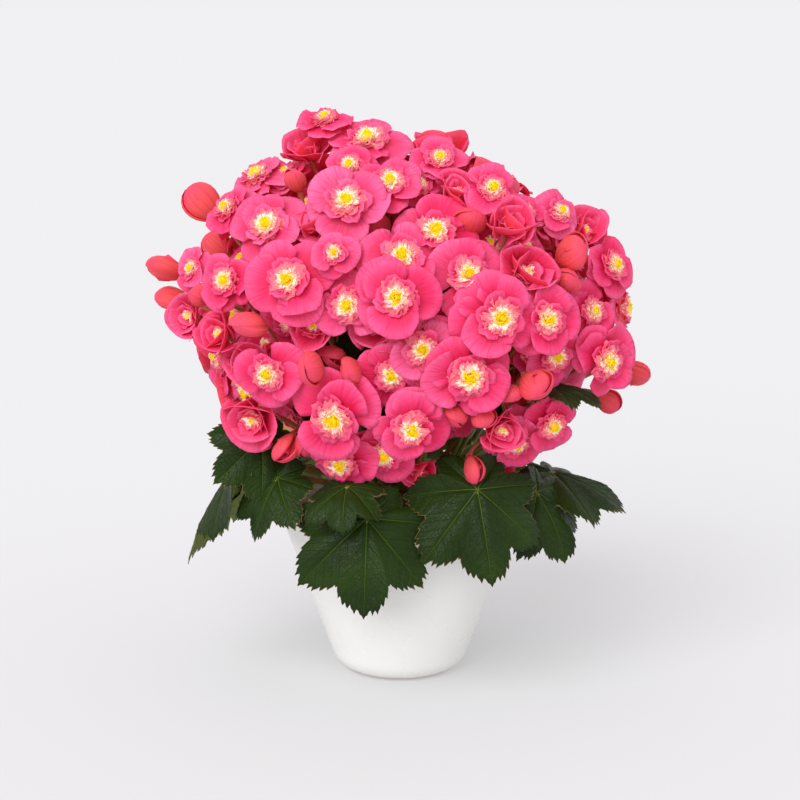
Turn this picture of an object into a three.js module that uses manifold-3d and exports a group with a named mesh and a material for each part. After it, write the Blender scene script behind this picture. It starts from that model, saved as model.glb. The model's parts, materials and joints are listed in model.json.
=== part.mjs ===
// Potted begonia: a bushy begonia with a dome of double flowers, in a plain tapered pot.
// Millimetres, +Z up. The origin is the middle of the pot's flat underside, and -Y is the front.
// Each spray (a stalk with its blooms, cups and buds) and each leaf with its stalk is one mesh.

import * as THREE from 'three';
import { mergeVertices } from 'three/addons/utils/BufferGeometryUtils.js';
import Module from 'manifold-3d';

const wasm = await Module();
wasm.setup();

// ---------------------------------------------------------------- driving dimensions

const GAP = 0.3; // clearance between neighbouring pieces
const ROOM = 0.55; // how much larger a piece's room is than the piece, so that faceted ones keep the gap

// A cover pot, 160 mm across the rim.
const POT = {
  rimRadius: 80,
  footRadius: 40.4, // where the straight wall would meet the floor
  height: 111,
  wall: 4.5,
  floor: 7,
  flatRadius: 26,
  curveHeight: 13, // height of the rounded foot edge
  curveSteps: 3,
  rimRound: 1.6,
  innerStep: [8, 9], // how far the inside's bottom edge is bevelled: inward, and up
  sides: 30,
};
const SOIL = { edge: 101, crown: 104.5, holeDepth: 22 };
const CROWN = { radius: 8, top: 122, shoulder: 4, sides: 10 };

// The flowers lie on an ellipsoid.
const DOME = { centre: new THREE.Vector3(2, 0, 232), radii: new THREE.Vector3(146, 122, 116) };
const FAN = new THREE.Vector3(0, 0, 108); // every stem spreads from this point

const SPRAYS = 36;
const SPRAY_FLOOR = -0.72; // lowest spray, as a share of the dome's half height
const MAIN_STEMS = 8;
const MAIN_FLOOR = -0.5;
const MAIN_REACH = 0.3; // how far out the main stems divide, as a share of the way to the flowers
const BRANCH_FROM = 0.06; // each branch starts a little lower on its main stem than the last
const BRANCH_STEP = 0.09;
const TIP_REACH = 0.42; // where a branch of the stems ends and a spray's stalk begins
const FORK_FROM = 0.3; // the stretch of a spray's stalk along which its other flowers branch off
const FORK_TO = 0.62;
const APPROACH = { leader: 24, fork: 12 }; // how far behind a flower its stalk turns towards it

// Radii of the stems and stalks, and the number of sides of each.
const STALK = {
  main: 3.6,
  mainEnd: 2.9,
  branchRoot: 1,
  branch: 2.3,
  spray: 2,
  fork: 0.5,
  flower: 1.2,
  leaf: 1.9,
  leafEnd: 1.33,
};
const MAIN_SIDES = 5;
const BRANCH_SIDES = 3;
const LEAF_THICKNESS = 0.8;
const PETAL_THICKNESS = 0.8;

// How far a flower faces the front rather than straight out of the dome, from 0 to 1.
const FACE_FRONT = 0.34;
const FRONT = new THREE.Vector3(0, -1, 0.2).normalize();

const SINK_STEP = 3; // flowers that would cross are set deeper, by up to ten of these steps
const SINK_STEPS = 10;
const LAYER = 8; // the least height between two flowers that lie over one another
const BUD_LAYER = 6.4; // the same where either is a bud
const CLOSE = 0.84; // share of the two radii at which flowers count as lying over one another

// The side that shows: across, height, width, kind. Those listed first lie over the others.
const OPEN = 'open';
const CUP = 'cup';
const BUD = 'bud';
const FRONT_FLOWERS = [
  [-47, 357, 32, OPEN],
  [-124, 303, 25, BUD],
  [-147, 262, 25, BUD],
  [149, 196, 21, BUD],
  [-39, 188, 51, OPEN],
  [58, 248, 50, OPEN],
  [41, 213, 49, OPEN],
  [-65, 269, 47, OPEN],
  [-31, 313, 47, OPEN],
  [-79, 298, 45, OPEN],
  [-2, 261, 45, OPEN],
  [126, 214, 46, OPEN],
  [-33, 257, 43, OPEN],
  [42, 275, 46, OPEN],
  [7, 182, 43, OPEN],
  [1, 286, 45, OPEN],
  [22, 303, 46, OPEN],
  [-20, 345, 49, OPEN],
  [-36, 156, 41, OPEN],
  [-11, 155, 43, OPEN],
  [88, 245, 40, OPEN],
  [92, 177, 36, OPEN],
  [73, 162, 37, OPEN],
  [-78, 213, 40, OPEN],
  [-104, 265, 37, OPEN],
  [131, 270, 36, OPEN],
  [14, 229, 40, OPEN],
  [-6, 209, 38, OPEN],
  [-6, 326, 38, OPEN],
  [24, 336, 32, OPEN],
  [55, 319, 35, OPEN],
  [76, 310, 30, OPEN],
  [103, 217, 36, OPEN],
  [124, 246, 34, OPEN],
  [80, 274, 33, CUP],
  [66, 298, 30, CUP],
  [61, 136, 30, CUP],
  [61, 177, 26, CUP],
  [-89, 180, 34, CUP],
  [119, 294, 31, CUP],
  [-58, 242, 27, CUP],
  [-56, 304, 25, CUP],
  [-58, 338, 31, CUP],
  [-38, 285, 27, OPEN],
  [-107, 304, 33, OPEN],
  [-128, 268, 27, OPEN],
  [-90, 322, 36, OPEN],
  [-78, 334, 30, OPEN],
  [-31, 334, 31, OPEN],
  [12, 331, 28, OPEN],
  [84, 294, 26, OPEN],
  [97, 304, 28, OPEN],
  [-130, 240, 27, CUP],
  [-109, 231, 26, CUP],
  [-95, 214, 26, CUP],
  [12, 141, 27, CUP],
  [36, 324, 25, CUP],
  [-51, 219, 21, BUD],
  [-31, 214, 18, BUD],
  [-88, 242, 23, BUD],
  [-69, 165, 19, BUD],
  [-59, 163, 20, BUD],
  [79, 208, 22, BUD],
  [67, 200, 15, BUD],
  [44, 309, 21, BUD],
  [101, 281, 23, BUD],
  [102, 267, 18, BUD],
  [44, 151, 17, BUD],
  [34, 188, 16, BUD],
  [50, 187, 16, BUD],
  [-63, 322, 15, BUD],
  [-119, 254, 16, BUD],
  [-92, 200, 15, BUD],
  [-144, 243, 20, BUD],
  [131, 182, 16, BUD],
];

// The sides, top and back are filled from a spiral of trial places, with a small seeded variation.
const FILL = {
  trials: 400,
  low: -0.66, // lowest flower, as a share of the dome's half height
  apart: 34.6, // room that an open flower or a cup needs
  budApart: 26, // smaller rooms than that take a bud, down to this one
  budEvery: 3,
  mostBuds: 8,
  budWidth: 0.45, // widths as shares of an open flower's
  cupWidth: 0.8,
  widest: 51,
  narrowest: 44,
  cupEvery: 6,
  tilt: 0.3,
  reach: 0.95, // the fill lies a little inside the dome, which narrows to the waist at its foot
  waist: 0.79,
  shoulder: 32, // the dome's right shoulder is lower by up to this much
};

// Leaves: base of the blade, heading of the tip in degrees from +X, its dip below the horizon,
// length, how far it bends down along its length, and how far it rolls to one side.
const LEAVES = [
  { hub: [-20, -89, 122], heading: -94, dip: 62, length: 58, bend: 26, roll: -4 },
  { hub: [-32, -86, 142], heading: -99, dip: 16, length: 34, bend: 60, roll: 5 },
  { hub: [47, -84, 139], heading: -69, dip: 62, length: 56, bend: 20, roll: 12 },
  { hub: [86, -46, 128], heading: -34, dip: 50, length: 46, bend: 30, roll: 12 },
  { hub: [97, -14, 134], heading: -8, dip: 14, length: 52, bend: 26, roll: 6 },
  { hub: [96, 22, 122], heading: 12, dip: 26, length: 46, bend: 30, roll: -8 },
  { hub: [-85, -52, 164], heading: -84, dip: 66, length: 41, bend: 20, roll: -14 },
  { hub: [90, -58, 200], heading: -20, dip: 2, length: 36, bend: 34, roll: -6 },
  { hub: [-102, -10, 142], heading: 192, dip: 52, length: 72, bend: 20, roll: 18 },
  { hub: [-76, -61, 141], heading: -132, dip: 47, length: 40, bend: 30, roll: 0 },
  { hub: [-86, 40, 122], heading: 146, dip: 34, length: 50, bend: 30, roll: 4 },
  { hub: [-46, 80, 138], heading: 122, dip: 42, length: 52, bend: 30, roll: -4 },
  { hub: [8, 88, 122], heading: 86, dip: 40, length: 52, bend: 26, roll: 4 },
  { hub: [56, 74, 138], heading: 54, dip: 42, length: 52, bend: 30, roll: 6 },
];

// The leaves' stalks leave the crown in tiers above the compost.
const LEAF_ROOTS = { low: 2.6, tiers: 3, step: 4.2 };

// ---------------------------------------------------------------- small helpers

const vec = (x, y, z) => new THREE.Vector3(x, y, z);
const UP = vec(0, 0, 1);
const radians = THREE.MathUtils.degToRad;

// A repeatable sequence of numbers from 0 to 1.
function seeded(seed) {
  let state = seed;
  return () => {
    state = (state * 16807) % 2147483647;
    return state / 2147483647;
  };
}

// A closed three.js geometry as a solid that can be joined and cut.
function solidOf(geometry) {
  const bare = geometry.index ? geometry.toNonIndexed() : geometry.clone();
  bare.deleteAttribute('normal');
  bare.deleteAttribute('uv');
  const merged = mergeVertices(bare, 1e-4);
  const corners = [];
  for (let i = 0; i < merged.index.count; i += 3) {
    const [a, b, c] = [0, 1, 2].map((k) => merged.index.getX(i + k));
    if (a !== b && b !== c && c !== a) corners.push(a, b, c);
  }
  const mesh = new wasm.Mesh({
    numProp: 3,
    vertProperties: merged.attributes.position.array,
    triVerts: new Uint32Array(corners),
  });
  return new wasm.Manifold(mesh);
}

function geometryOf(solid) {
  const mesh = solid.getMesh();
  const geometry = new THREE.BufferGeometry();
  geometry.setAttribute('position', new THREE.BufferAttribute(mesh.vertProperties, 3));
  geometry.setIndex(new THREE.BufferAttribute(mesh.triVerts, 1));
  geometry.computeVertexNormals();
  return geometry;
}

function geometryFrom(points, triangles) {
  const geometry = new THREE.BufferGeometry().setFromPoints(points);
  geometry.setIndex(triangles);
  return geometry;
}

const joined = (solids) => wasm.Manifold.union(solids);

// The largest body of a solid: scraps that a cut leaves loose are dropped.
function largest(solid) {
  const bodies = solid.decompose();
  return bodies.reduce((best, body) => (body.volume() > best.volume() ? body : best));
}

function boxesMeet(a, b) {
  const p = a.boundingBox();
  const q = b.boundingBox();
  return [0, 1, 2].every((k) => p.min[k] < q.max[k] && q.min[k] < p.max[k]);
}

// The triangles between two rings. The upper one may have a whole multiple of the lower one's corners.
function band(low, lowCount, high, highCount) {
  const triangles = [];
  const fan = highCount / lowCount;
  for (let i = 0; i < lowCount; i++) {
    const corner = low + i;
    const nextCorner = low + ((i + 1) % lowCount);
    for (let k = 0; k < fan; k++) {
      const edge = high + i * fan + k;
      const nextEdge = high + ((i * fan + k + 1) % highCount);
      triangles.push(corner, nextEdge, edge);
    }
    triangles.push(corner, nextCorner, high + (((i + 1) * fan) % highCount));
  }
  return triangles;
}

// Rings, one above another. The ends are flat, but for a point over the last ring where one is given.
function ringSolid(rings, peak) {
  const points = rings.flat();
  const triangles = [];
  let low = 0;
  for (let r = 0; r + 1 < rings.length; r++) {
    const high = low + rings[r].length;
    triangles.push(...band(low, rings[r].length, high, rings[r + 1].length));
    low = high;
  }
  for (let i = 1; i + 1 < rings[0].length; i++) triangles.push(0, i + 1, i);
  const count = points.length - low;
  for (let i = 0; i < count; i++) {
    const next = (i + 1) % count;
    if (peak) triangles.push(low + i, low + next, points.length);
    else if (i > 0 && next > 0) triangles.push(low, low + i, low + next);
  }
  if (peak) points.push(peak);
  return solidOf(geometryFrom(points, triangles));
}

// The rings of a tapered stalk along a curve. The first corner of each lies towards the given side.
function stalkRings(curve, steps, startRadius, endRadius, sides, side = FAN) {
  return Array.from({ length: steps + 1 }, (_, s) => {
    const along = curve.getTangent(s / steps);
    const radius = THREE.MathUtils.lerp(startRadius, endRadius, s / steps);
    const out = side.clone().projectOnPlane(along).setLength(radius);
    return Array.from({ length: sides }, (__, i) =>
      out.clone().applyAxisAngle(along, (2 * Math.PI * i) / sides).add(curve.getPoint(s / steps)));
  });
}

const stalkSolid = (...shape) => ringSolid(stalkRings(...shape));

// ---------------------------------------------------------------- pot and soil

const wallRadius = (z) => THREE.MathUtils.lerp(POT.footRadius, POT.rimRadius, z / POT.height);

// A profile of radii and heights turned about Z.
function turned(profile, sides = POT.sides) {
  const points = profile.map(([radius, z]) => new THREE.Vector2(radius, z));
  return solidOf(new THREE.LatheGeometry(points, sides).rotateX(Math.PI / 2));
}

function footCurve() {
  const start = new THREE.Vector2(POT.flatRadius, 0);
  const corner = new THREE.Vector2(POT.footRadius, 0);
  const end = new THREE.Vector2(wallRadius(POT.curveHeight), POT.curveHeight);
  return new THREE.QuadraticBezierCurve(start, corner, end).getPoints(POT.curveSteps).map((p) => [p.x, p.y]);
}

// The inner wall runs parallel to the outer one; grow moves it for what fills the pot.
function innerWall(grow) {
  const radius = (z) => wallRadius(z) - POT.wall - grow;
  const [inward, up] = POT.innerStep;
  const low = POT.floor + up;
  return { radius, low: [radius(low), low], bottom: radius(low) - inward };
}

function makePot() {
  const inner = innerWall(0);
  const rim = POT.height - POT.rimRound;
  return turned([
    [0, 0],
    ...footCurve(),
    [wallRadius(rim), rim],
    [POT.rimRadius - POT.rimRound, POT.height],
    [POT.rimRadius - POT.wall + POT.rimRound, POT.height],
    [inner.radius(rim), rim],
    inner.low,
    [inner.bottom, POT.floor],
    [0, POT.floor],
  ]);
}

function makeSoil() {
  const inner = innerWall(GAP);
  const fill = turned([
    [0, POT.floor + GAP],
    [inner.bottom, POT.floor + GAP],
    inner.low,
    [inner.radius(SOIL.edge), SOIL.edge],
    [0, SOIL.crown],
  ]);
  const holeRadius = CROWN.radius + GAP;
  const hole = new THREE.CylinderGeometry(holeRadius, holeRadius, 2 * SOIL.holeDepth, CROWN.sides);
  hole.rotateX(Math.PI / 2).translate(0, 0, SOIL.crown);
  return fill.subtract(solidOf(hole));
}

// The room that the pot's wall needs near its rim.
function makeWallRoom() {
  const low = POT.height / 2;
  const spare = ROOM;
  return turned([
    [wallRadius(low) + spare, low],
    [POT.rimRadius + spare, POT.height + spare],
    [POT.rimRadius - POT.wall - spare, POT.height + spare],
    [wallRadius(low) - POT.wall - spare, low],
    [wallRadius(low) + spare, low],
  ]);
}

// ---------------------------------------------------------------- flowers

// The dome's outward direction at a point on or near it.
function outward(point) {
  const { centre, radii } = DOME;
  return vec(
    (point.x - centre.x) / radii.x ** 2,
    (point.y - centre.y) / radii.y ** 2,
    (point.z - centre.z) / radii.z ** 2,
  ).normalize();
}

function frontPoint(x, z) {
  const { centre, radii } = DOME;
  const share = ((x - centre.x) / radii.x) ** 2 + ((z - centre.z) / radii.z) ** 2;
  return vec(x, -radii.y * Math.sqrt(Math.max(0, 1 - share)), z);
}

// The flowers in the order in which they are placed, before they are set to their depths.
function chosenFlowers() {
  const draw = seeded(41);
  return FRONT_FLOWERS.map(([x, z, width, kind]) => {
    const point = frontPoint(x, z);
    const facing = outward(point).lerp(FRONT, kind === BUD ? 0 : FACE_FRONT).normalize();
    return { point, facing, width, kind, turn: draw(), inFront: true };
  });
}

// A point of an even spiral over the dome; height is a share of its half height.
function spiralPoint(index, height) {
  const turn = index * Math.PI * (3 - Math.sqrt(5));
  const across = Math.sqrt(1 - height * height);
  return vec(across * Math.cos(turn), across * Math.sin(turn), height).multiply(DOME.radii).add(DOME.centre);
}

// Where the fill puts a point of the dome.
function fillPlace(point) {
  const { centre, radii } = DOME;
  const rise = (point.z - centre.z) / radii.z;
  const right = (point.x - centre.x) / radii.x;
  const narrowed = THREE.MathUtils.lerp(1, FILL.waist, Math.max(0, rise / FILL.low));
  const place = point.clone().sub(centre).multiplyScalar(FILL.reach).multiply(vec(narrowed, narrowed, 1));
  place.z -= FILL.shoulder * Math.max(0, right) * Math.max(0, rise);
  return place.add(centre);
}

function fillingFlowers(placed) {
  const draw = seeded(977);
  const flowers = [];
  let buds = 0;
  for (let i = 0; i < FILL.trials; i++) {
    const height = THREE.MathUtils.lerp(0.99, FILL.low, (i + 0.5) / FILL.trials);
    const point = fillPlace(spiralPoint(i, height));
    const room = Math.min(...[...placed, ...flowers].map((other) => other.point.distanceTo(point)));
    const bud = room < FILL.apart;
    if (room < FILL.budApart || (bud && (buds === FILL.mostBuds || i % FILL.budEvery))) continue;
    const [across, along, up, size] = [draw(), draw(), draw(), draw()];
    const lean = vec(across - 0.5, along - 0.5, up - 0.4).multiplyScalar(FILL.tilt);
    const facing = outward(point).add(lean).normalize();
    const widths = { [OPEN]: 1, [CUP]: FILL.cupWidth, [BUD]: FILL.budWidth };
    const kind = bud ? BUD : flowers.length % FILL.cupEvery ? OPEN : CUP;
    const width = THREE.MathUtils.lerp(FILL.narrowest, FILL.widest, size) * widths[kind];
    if (bud) buds += 1;
    flowers.push({ point, facing, width, kind, turn: size });
  }
  return flowers;
}

function liesOver(flower, other, point) {
  const apart = other.point.clone().sub(point);
  const rise = Math.abs(apart.dot(other.facing));
  const aside = Math.sqrt(Math.max(0, apart.lengthSq() - rise * rise));
  const small = flower.kind === BUD || other.kind === BUD;
  const reach = (flower.width + other.width) / 2;
  return aside < reach * CLOSE && rise < (small ? BUD_LAYER : LAYER);
}

// Each flower goes as near the surface as it can without crossing those already placed.
function settleFlowers(flowers) {
  const settled = [];
  for (const flower of flowers) {
    const inward = outward(flower.point).negate();
    const depths = Array.from({ length: SINK_STEPS + 1 }, (_, step) => step * SINK_STEP);
    const at = (depth) => flower.point.clone().addScaledVector(inward, depth);
    const free = depths.find((depth) => !settled.some((other) => liesOver(flower, other, at(depth))));
    settled.push({ ...flower, point: at(free ?? SINK_STEP) });
  }
  return settled;
}

// Axes with Z along the way a flower faces.
function flowerAxes(flower) {
  const side = UP.clone().cross(flower.facing);
  if (side.lengthSq() < 1e-6) side.set(1, 0, 0);
  side.normalize();
  const axes = new THREE.Matrix4().makeBasis(side, flower.facing.clone().cross(side), flower.facing);
  axes.multiply(new THREE.Matrix4().makeRotationZ(2 * Math.PI * flower.turn));
  return axes.setPosition(flower.point);
}

// An open bloom. Lengths are shares of its half width, and heights over the petals are in
// millimetres on a bloom of the stated width.
const BLOOM = {
  notch: 0.74, // reach between two petals
  back: -0.24,
  rise: 0.1,
  wave: 0.06,
  valley: 0.4, // the ruffled heart: its foot, its outer and inner teeth, and its middle
  ruffle: 0.58,
  ruffleIn: 0.44,
  heart: 0.29,
  toothHeights: [7.4, 6.2],
  heartHeights: [7.2, 9.4],
  peak: 7.5,
  width: 46,
};
// A flat bloom and a steep cup: thickness measured upward, and how their rings make room round them,
// as shares outward and up.
const FLAT_ROOM = { thickness: PETAL_THICKNESS, backRoom: [1, -1], frontRoom: [1, 1], valleyRoom: [1.8, 1] };
const STEEP_ROOM = {
  thickness: PETAL_THICKNESS * 1.6,
  backRoom: [1.3, -0.4],
  frontRoom: [0, 1.7],
  valleyRoom: [0, 1.7],
};
const HALF_OPEN = { back: -0.6, rise: 0.44, radius: 0.86, ...STEEP_ROOM };
// The largest blooms in front have four outer petals, the others three, in three steps each.
const LARGE = { from: 43, petals: 4 };
const SMALL = { petals: 3 };
const PETAL_STEPS = 3;
const NECK = { sides: 3, radius: 1.1 };

// Where a stalk runs into the back of a flower, in the flower's own axes.
function neckRing(base, slope, grow) {
  const radius = NECK.radius + grow;
  return Array.from({ length: NECK.sides }, (_, i) => {
    const angle = (2 * Math.PI * (i + 0.5)) / NECK.sides;
    return vec(Math.cos(angle) * radius, Math.sin(angle) * radius, base.z + slope * radius - grow);
  });
}

// A double bloom: broad outer petals, shorter ones standing over them, and a ruffled heart. A cup
// is the same bloom half open. It is one surface of rings, so that each petal is solid to its edge.
function bloomRings(flower, grow) {
  const form = flower.kind === CUP ? HALF_OPEN : { ...BLOOM, radius: 1, ...FLAT_ROOM };
  const half = flower.width / 2;
  const base = vec(0, 0, half * form.back);
  const large = flower.inFront && flower.width >= LARGE.from;
  const { petals } = large ? LARGE : SMALL;
  const steps = petals * PETAL_STEPS;
  const edge = Array.from({ length: steps }, (_, i) => {
    const angle = (2 * Math.PI * i) / steps;
    const raised = Math.floor(i / PETAL_STEPS) % 2 ? 1 : -1;
    const notched = i % PETAL_STEPS === 0;
    const wave = BLOOM.wave * half * raised * (notched ? -0.6 : 1);
    const reach = half * form.radius * (notched ? BLOOM.notch : 1) * (raised > 0 ? 0.95 : 1.02);
    return vec(Math.cos(angle) * reach, Math.sin(angle) * reach, half * form.rise + wave);
  });
  // A ring a share of the way from the base to the edge, and a height above the petals' backs.
  // Where a room is made for the bloom, it is moved outward and up by these shares of grow.
  const ring = (share, height, [outwardly, upward]) => edge.map((rim, i) => {
    const point = base.clone().lerp(rim, share(i));
    const out = vec(rim.x, rim.y, 0).setLength(1).multiplyScalar(grow * outwardly);
    return point.add(out).add(vec(0, 0, height(i) + grow * upward));
  });
  const toothed = (low, high) => (i) => (i % (large ? 2 : PETAL_STEPS) ? low : high);
  const scale = flower.width / BLOOM.width;
  const heights = (pair) => pair.map((height) => height * scale);
  const rings = [
    neckRing(base, (form.rise - form.back) / form.radius, grow),
    ring(() => 1, () => 0, form.backRoom),
    ring(() => 1, () => form.thickness, form.frontRoom),
    ring(() => BLOOM.valley, () => form.thickness, form.valleyRoom),
    ring(toothed(BLOOM.ruffleIn, BLOOM.ruffle), toothed(...heights(BLOOM.toothHeights)), [1.8, 0.3]),
  ];
  if (large) rings.push(ring(() => BLOOM.heart, toothed(...heights(BLOOM.heartHeights)), [0, 1]));
  const peak = vec(0, 0, (base.z + half * form.rise) / 2 + BLOOM.peak * scale + grow);
  return { rings, peak, base };
}

const BUD_SHAPE = { sides: 6, across: 0.42, flat: 0.72, rings: [[0.86, -0.2], [0.9, 0.2]] };

// A bud: two rounded shells, flattened from side to side.
function budRings(flower, grow) {
  const base = vec(0, 0, -flower.width / 2);
  const across = flower.width * BUD_SHAPE.across;
  const rings = BUD_SHAPE.rings.map(([share, height]) =>
    Array.from({ length: BUD_SHAPE.sides }, (_, i) => {
      const angle = (2 * Math.PI * i) / BUD_SHAPE.sides;
      const x = Math.cos(angle) * (across * share + grow);
      const y = Math.sin(angle) * (across * share * BUD_SHAPE.flat + grow);
      return vec(x, y, flower.width * height);
    }));
  return { rings: [neckRing(base, 0, grow), ...rings], peak: vec(0, 0, flower.width / 2 + grow), base };
}

// A flower's rings in place, from its neck to its peak.
function flowerShape(flower, grow) {
  const axes = flowerAxes(flower);
  const shape = (flower.kind === BUD ? budRings : bloomRings)(flower, grow);
  for (const point of [...shape.rings.flat(), shape.peak, shape.base]) point.applyMatrix4(axes);
  return shape;
}

// ---------------------------------------------------------------- sprays

const evenPoints = (count, low) =>
  Array.from({ length: count }, (_, i) => spiralPoint(i, THREE.MathUtils.lerp(0.98, low, (i + 0.5) / count)));

const away = (point) => point.clone().sub(FAN).normalize();

// The index of the point whose direction from the stems' middle is nearest to this point's.
function nearest(points, point) {
  const alike = points.map((other) => away(other).dot(away(point)));
  return alike.indexOf(Math.max(...alike));
}

function groupFlowers(flowers) {
  const points = evenPoints(SPRAYS, SPRAY_FLOOR);
  const groups = points.map(() => []);
  for (const flower of flowers) groups[nearest(points, flower.point)].push(flower);
  return groups.filter((group) => group.length > 0);
}

// Where a spray's stalk meets its branch of the stems.
function branchTip(group) {
  const middle = vec(0, 0, 0);
  for (const flower of group) middle.add(flower.point);
  return FAN.clone().lerp(middle.divideScalar(group.length), TIP_REACH);
}

// The first flower of a spray ends its stalk, and the others branch off along it.
function sprayCurves(group) {
  const shapes = group.map((flower) => flowerShape(flower, 0));
  const curveTo = (i, root, approach) => {
    const behind = shapes[i].base.clone().addScaledVector(group[i].facing, -approach);
    const bend = behind.lerp(root, 0.2);
    return new THREE.QuadraticBezierCurve3(root, bend, shapes[i].base);
  };
  const tip = branchTip(group);
  const heading = shapes[0].base.clone().sub(tip).normalize();
  const leader = curveTo(0, tip.addScaledVector(heading, GAP), APPROACH.leader);
  const forks = group.slice(1).map((_, i) => {
    const share = THREE.MathUtils.lerp(FORK_FROM, FORK_TO, (i + 0.5) / (group.length - 1));
    return curveTo(i + 1, leader.getPoint(share), APPROACH.fork);
  });
  return [leader, ...forks];
}

// A spray as one body, with the room that its stalks and its flowers need.
function makeSpray(group) {
  const curves = sprayCurves(group);
  const stalk = (i, grow) => {
    const { rings, base } = flowerShape(group[i], 0);
    const side = rings[0][0].clone().sub(base);
    const [steps, from] = i ? [group[i].kind === BUD ? 1 : 2, STALK.fork] : [3, STALK.spray];
    return stalkRings(curves[i], steps, from + grow, STALK.flower + grow, NECK.sides, side);
  };
  const whole = group.map((flower, i) => {
    const { rings, peak } = flowerShape(flower, 0);
    return ringSolid([...stalk(i, 0).slice(0, -1), ...rings], peak);
  });
  const flowerRoom = group.map((flower) => {
    const { rings, peak } = flowerShape(flower, ROOM);
    return ringSolid(rings, peak);
  });
  return {
    body: joined(whole),
    stalk: joined(group.map((_, i) => ringSolid(stalk(i, 0)))),
    stalkRoom: joined(group.map((_, i) => ringSolid(stalk(i, ROOM)))),
    bladeRoom: joined(flowerRoom),
  };
}

// ---------------------------------------------------------------- stems

function makeStems(groups, grow) {
  const foot = SOIL.crown - SOIL.holeDepth + GAP;
  const crown = turned([
    [0, foot],
    [CROWN.radius, foot],
    [CROWN.radius, CROWN.top - CROWN.shoulder],
    [CROWN.radius * 0.6 + grow, CROWN.top + grow],
    [0, CROWN.top + 1 + grow],
  ], CROWN.sides);
  const tips = groups.map(branchTip);
  const mains = evenPoints(MAIN_STEMS, MAIN_FLOOR).map((point) => FAN.clone().lerp(point, MAIN_REACH));
  const parts = [crown];
  const side = vec(1, 0.2, 0.1);
  for (const main of mains) {
    const line = new THREE.LineCurve3(FAN, main);
    parts.push(stalkSolid(line, 1, STALK.main + grow, STALK.mainEnd + grow, MAIN_SIDES, side));
  }
  const used = mains.map(() => 0);
  for (const tip of tips) {
    const index = nearest(mains, tip);
    const root = mains[index].clone().lerp(FAN, BRANCH_FROM + BRANCH_STEP * used[index]);
    used[index] += 1;
    const line = new THREE.LineCurve3(root, tip);
    parts.push(stalkSolid(line, 1, STALK.branchRoot + grow, STALK.branch + grow, BRANCH_SIDES, side));
  }
  return joined(parts);
}

// ---------------------------------------------------------------- leaves

// The outline's seven lobes: angle from the tip, and reach. Each has a tip, a tooth and a notch.
const LOBES = [
  [-144, 0.52],
  [-98, 0.74],
  [-46, 0.92],
  [0, 1],
  [42, 0.86],
  [90, 0.66],
  [138, 0.46],
];

const NOTCH = 0.82; // reach between two lobes, as a share of the shorter one's
const LOBE_FALL = 0.2; // share of the fall to the notch that is done half way
const SINUS = 0.16; // reach of the notch where the stalk meets the blade

function leafOutline(length) {
  const outline = [];
  for (let k = 0; k < LOBES.length; k++) {
    const [angle, reach] = LOBES[k];
    const [nextAngle, nextReach] = LOBES[(k + 1) % LOBES.length];
    const last = k === LOBES.length - 1;
    const nextTurn = last ? 180 : (angle + nextAngle) / 2;
    const low = last ? SINUS : Math.min(reach, nextReach) * NOTCH;
    outline.push([angle, reach]);
    outline.push([THREE.MathUtils.lerp(angle, nextTurn, 0.5), THREE.MathUtils.lerp(reach, low, LOBE_FALL)]);
    outline.push([nextTurn, low]);
  }
  return outline.map(([angle, reach]) => {
    const turn = radians(angle);
    return [Math.cos(turn) * reach * length, Math.sin(turn) * reach * length];
  });
}

// Lays a flat leaf point on the blade's arch; below is the distance under its upper face.
function archPoint(leaf, axes, x, y, below) {
  const bend = radians(leaf.bend);
  const angle = (bend * x) / leaf.length;
  const arc = leaf.length / bend;
  const sag = (0.32 * y * y) / leaf.length + 0.1 * Math.abs(y);
  const point = vec(Math.sin(angle) * arc, y, -(1 - Math.cos(angle)) * arc - sag);
  point.add(vec(-Math.sin(angle), 0, -Math.cos(angle)).multiplyScalar(below));
  return point.applyMatrix4(axes);
}

function leafAxes(leaf) {
  const heading = radians(leaf.heading);
  const dip = radians(leaf.dip);
  const tip = vec(Math.cos(heading) * Math.cos(dip), Math.sin(heading) * Math.cos(dip), -Math.sin(dip));
  const side = UP.clone().cross(tip).normalize();
  side.applyAxisAngle(tip, radians(leaf.roll));
  const axes = new THREE.Matrix4().makeBasis(tip, side, tip.clone().cross(side));
  return axes.setPosition(vec(...leaf.hub));
}

// Both faces are split alike: base, a ring half way, and the toothed edge.
function bladeSolid(leaf, grow) {
  const axes = leafAxes(leaf);
  const outline = leafOutline(leaf.length + grow);
  const ring = LOBES.map((_, k) => outline[3 * k].map((value) => value * 0.5));
  const flat = [[0, 0], ...ring, ...outline];
  const face = [];
  const inner = (k) => 1 + (k % LOBES.length);
  const outer = (k) => 1 + LOBES.length + (k % outline.length);
  for (let k = 0; k < LOBES.length; k++) {
    face.push([0, inner(k), inner(k + 1)]);
    face.push([inner(k), outer(3 * k), outer(3 * k + 1)]);
    face.push([inner(k), outer(3 * k + 1), inner(k + 1)]);
    face.push([inner(k + 1), outer(3 * k + 1), outer(3 * k + 2)]);
    face.push([inner(k + 1), outer(3 * k + 2), outer(3 * k + 3)]);
  }
  const upper = flat.map(([x, y]) => archPoint(leaf, axes, x, y, -grow));
  const lower = flat.map(([x, y]) => archPoint(leaf, axes, x, y, LEAF_THICKNESS + grow));
  const count = flat.length;
  const triangles = [];
  for (const [a, b, c] of face) triangles.push(a, b, c, count + a, count + c, count + b);
  for (let k = 0; k < outline.length; k++) {
    const [a, b] = [outer(k), outer(k + 1)];
    triangles.push(a, count + a, count + b, a, count + b, b);
  }
  return solidOf(geometryFrom([...upper, ...lower], triangles));
}

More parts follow.
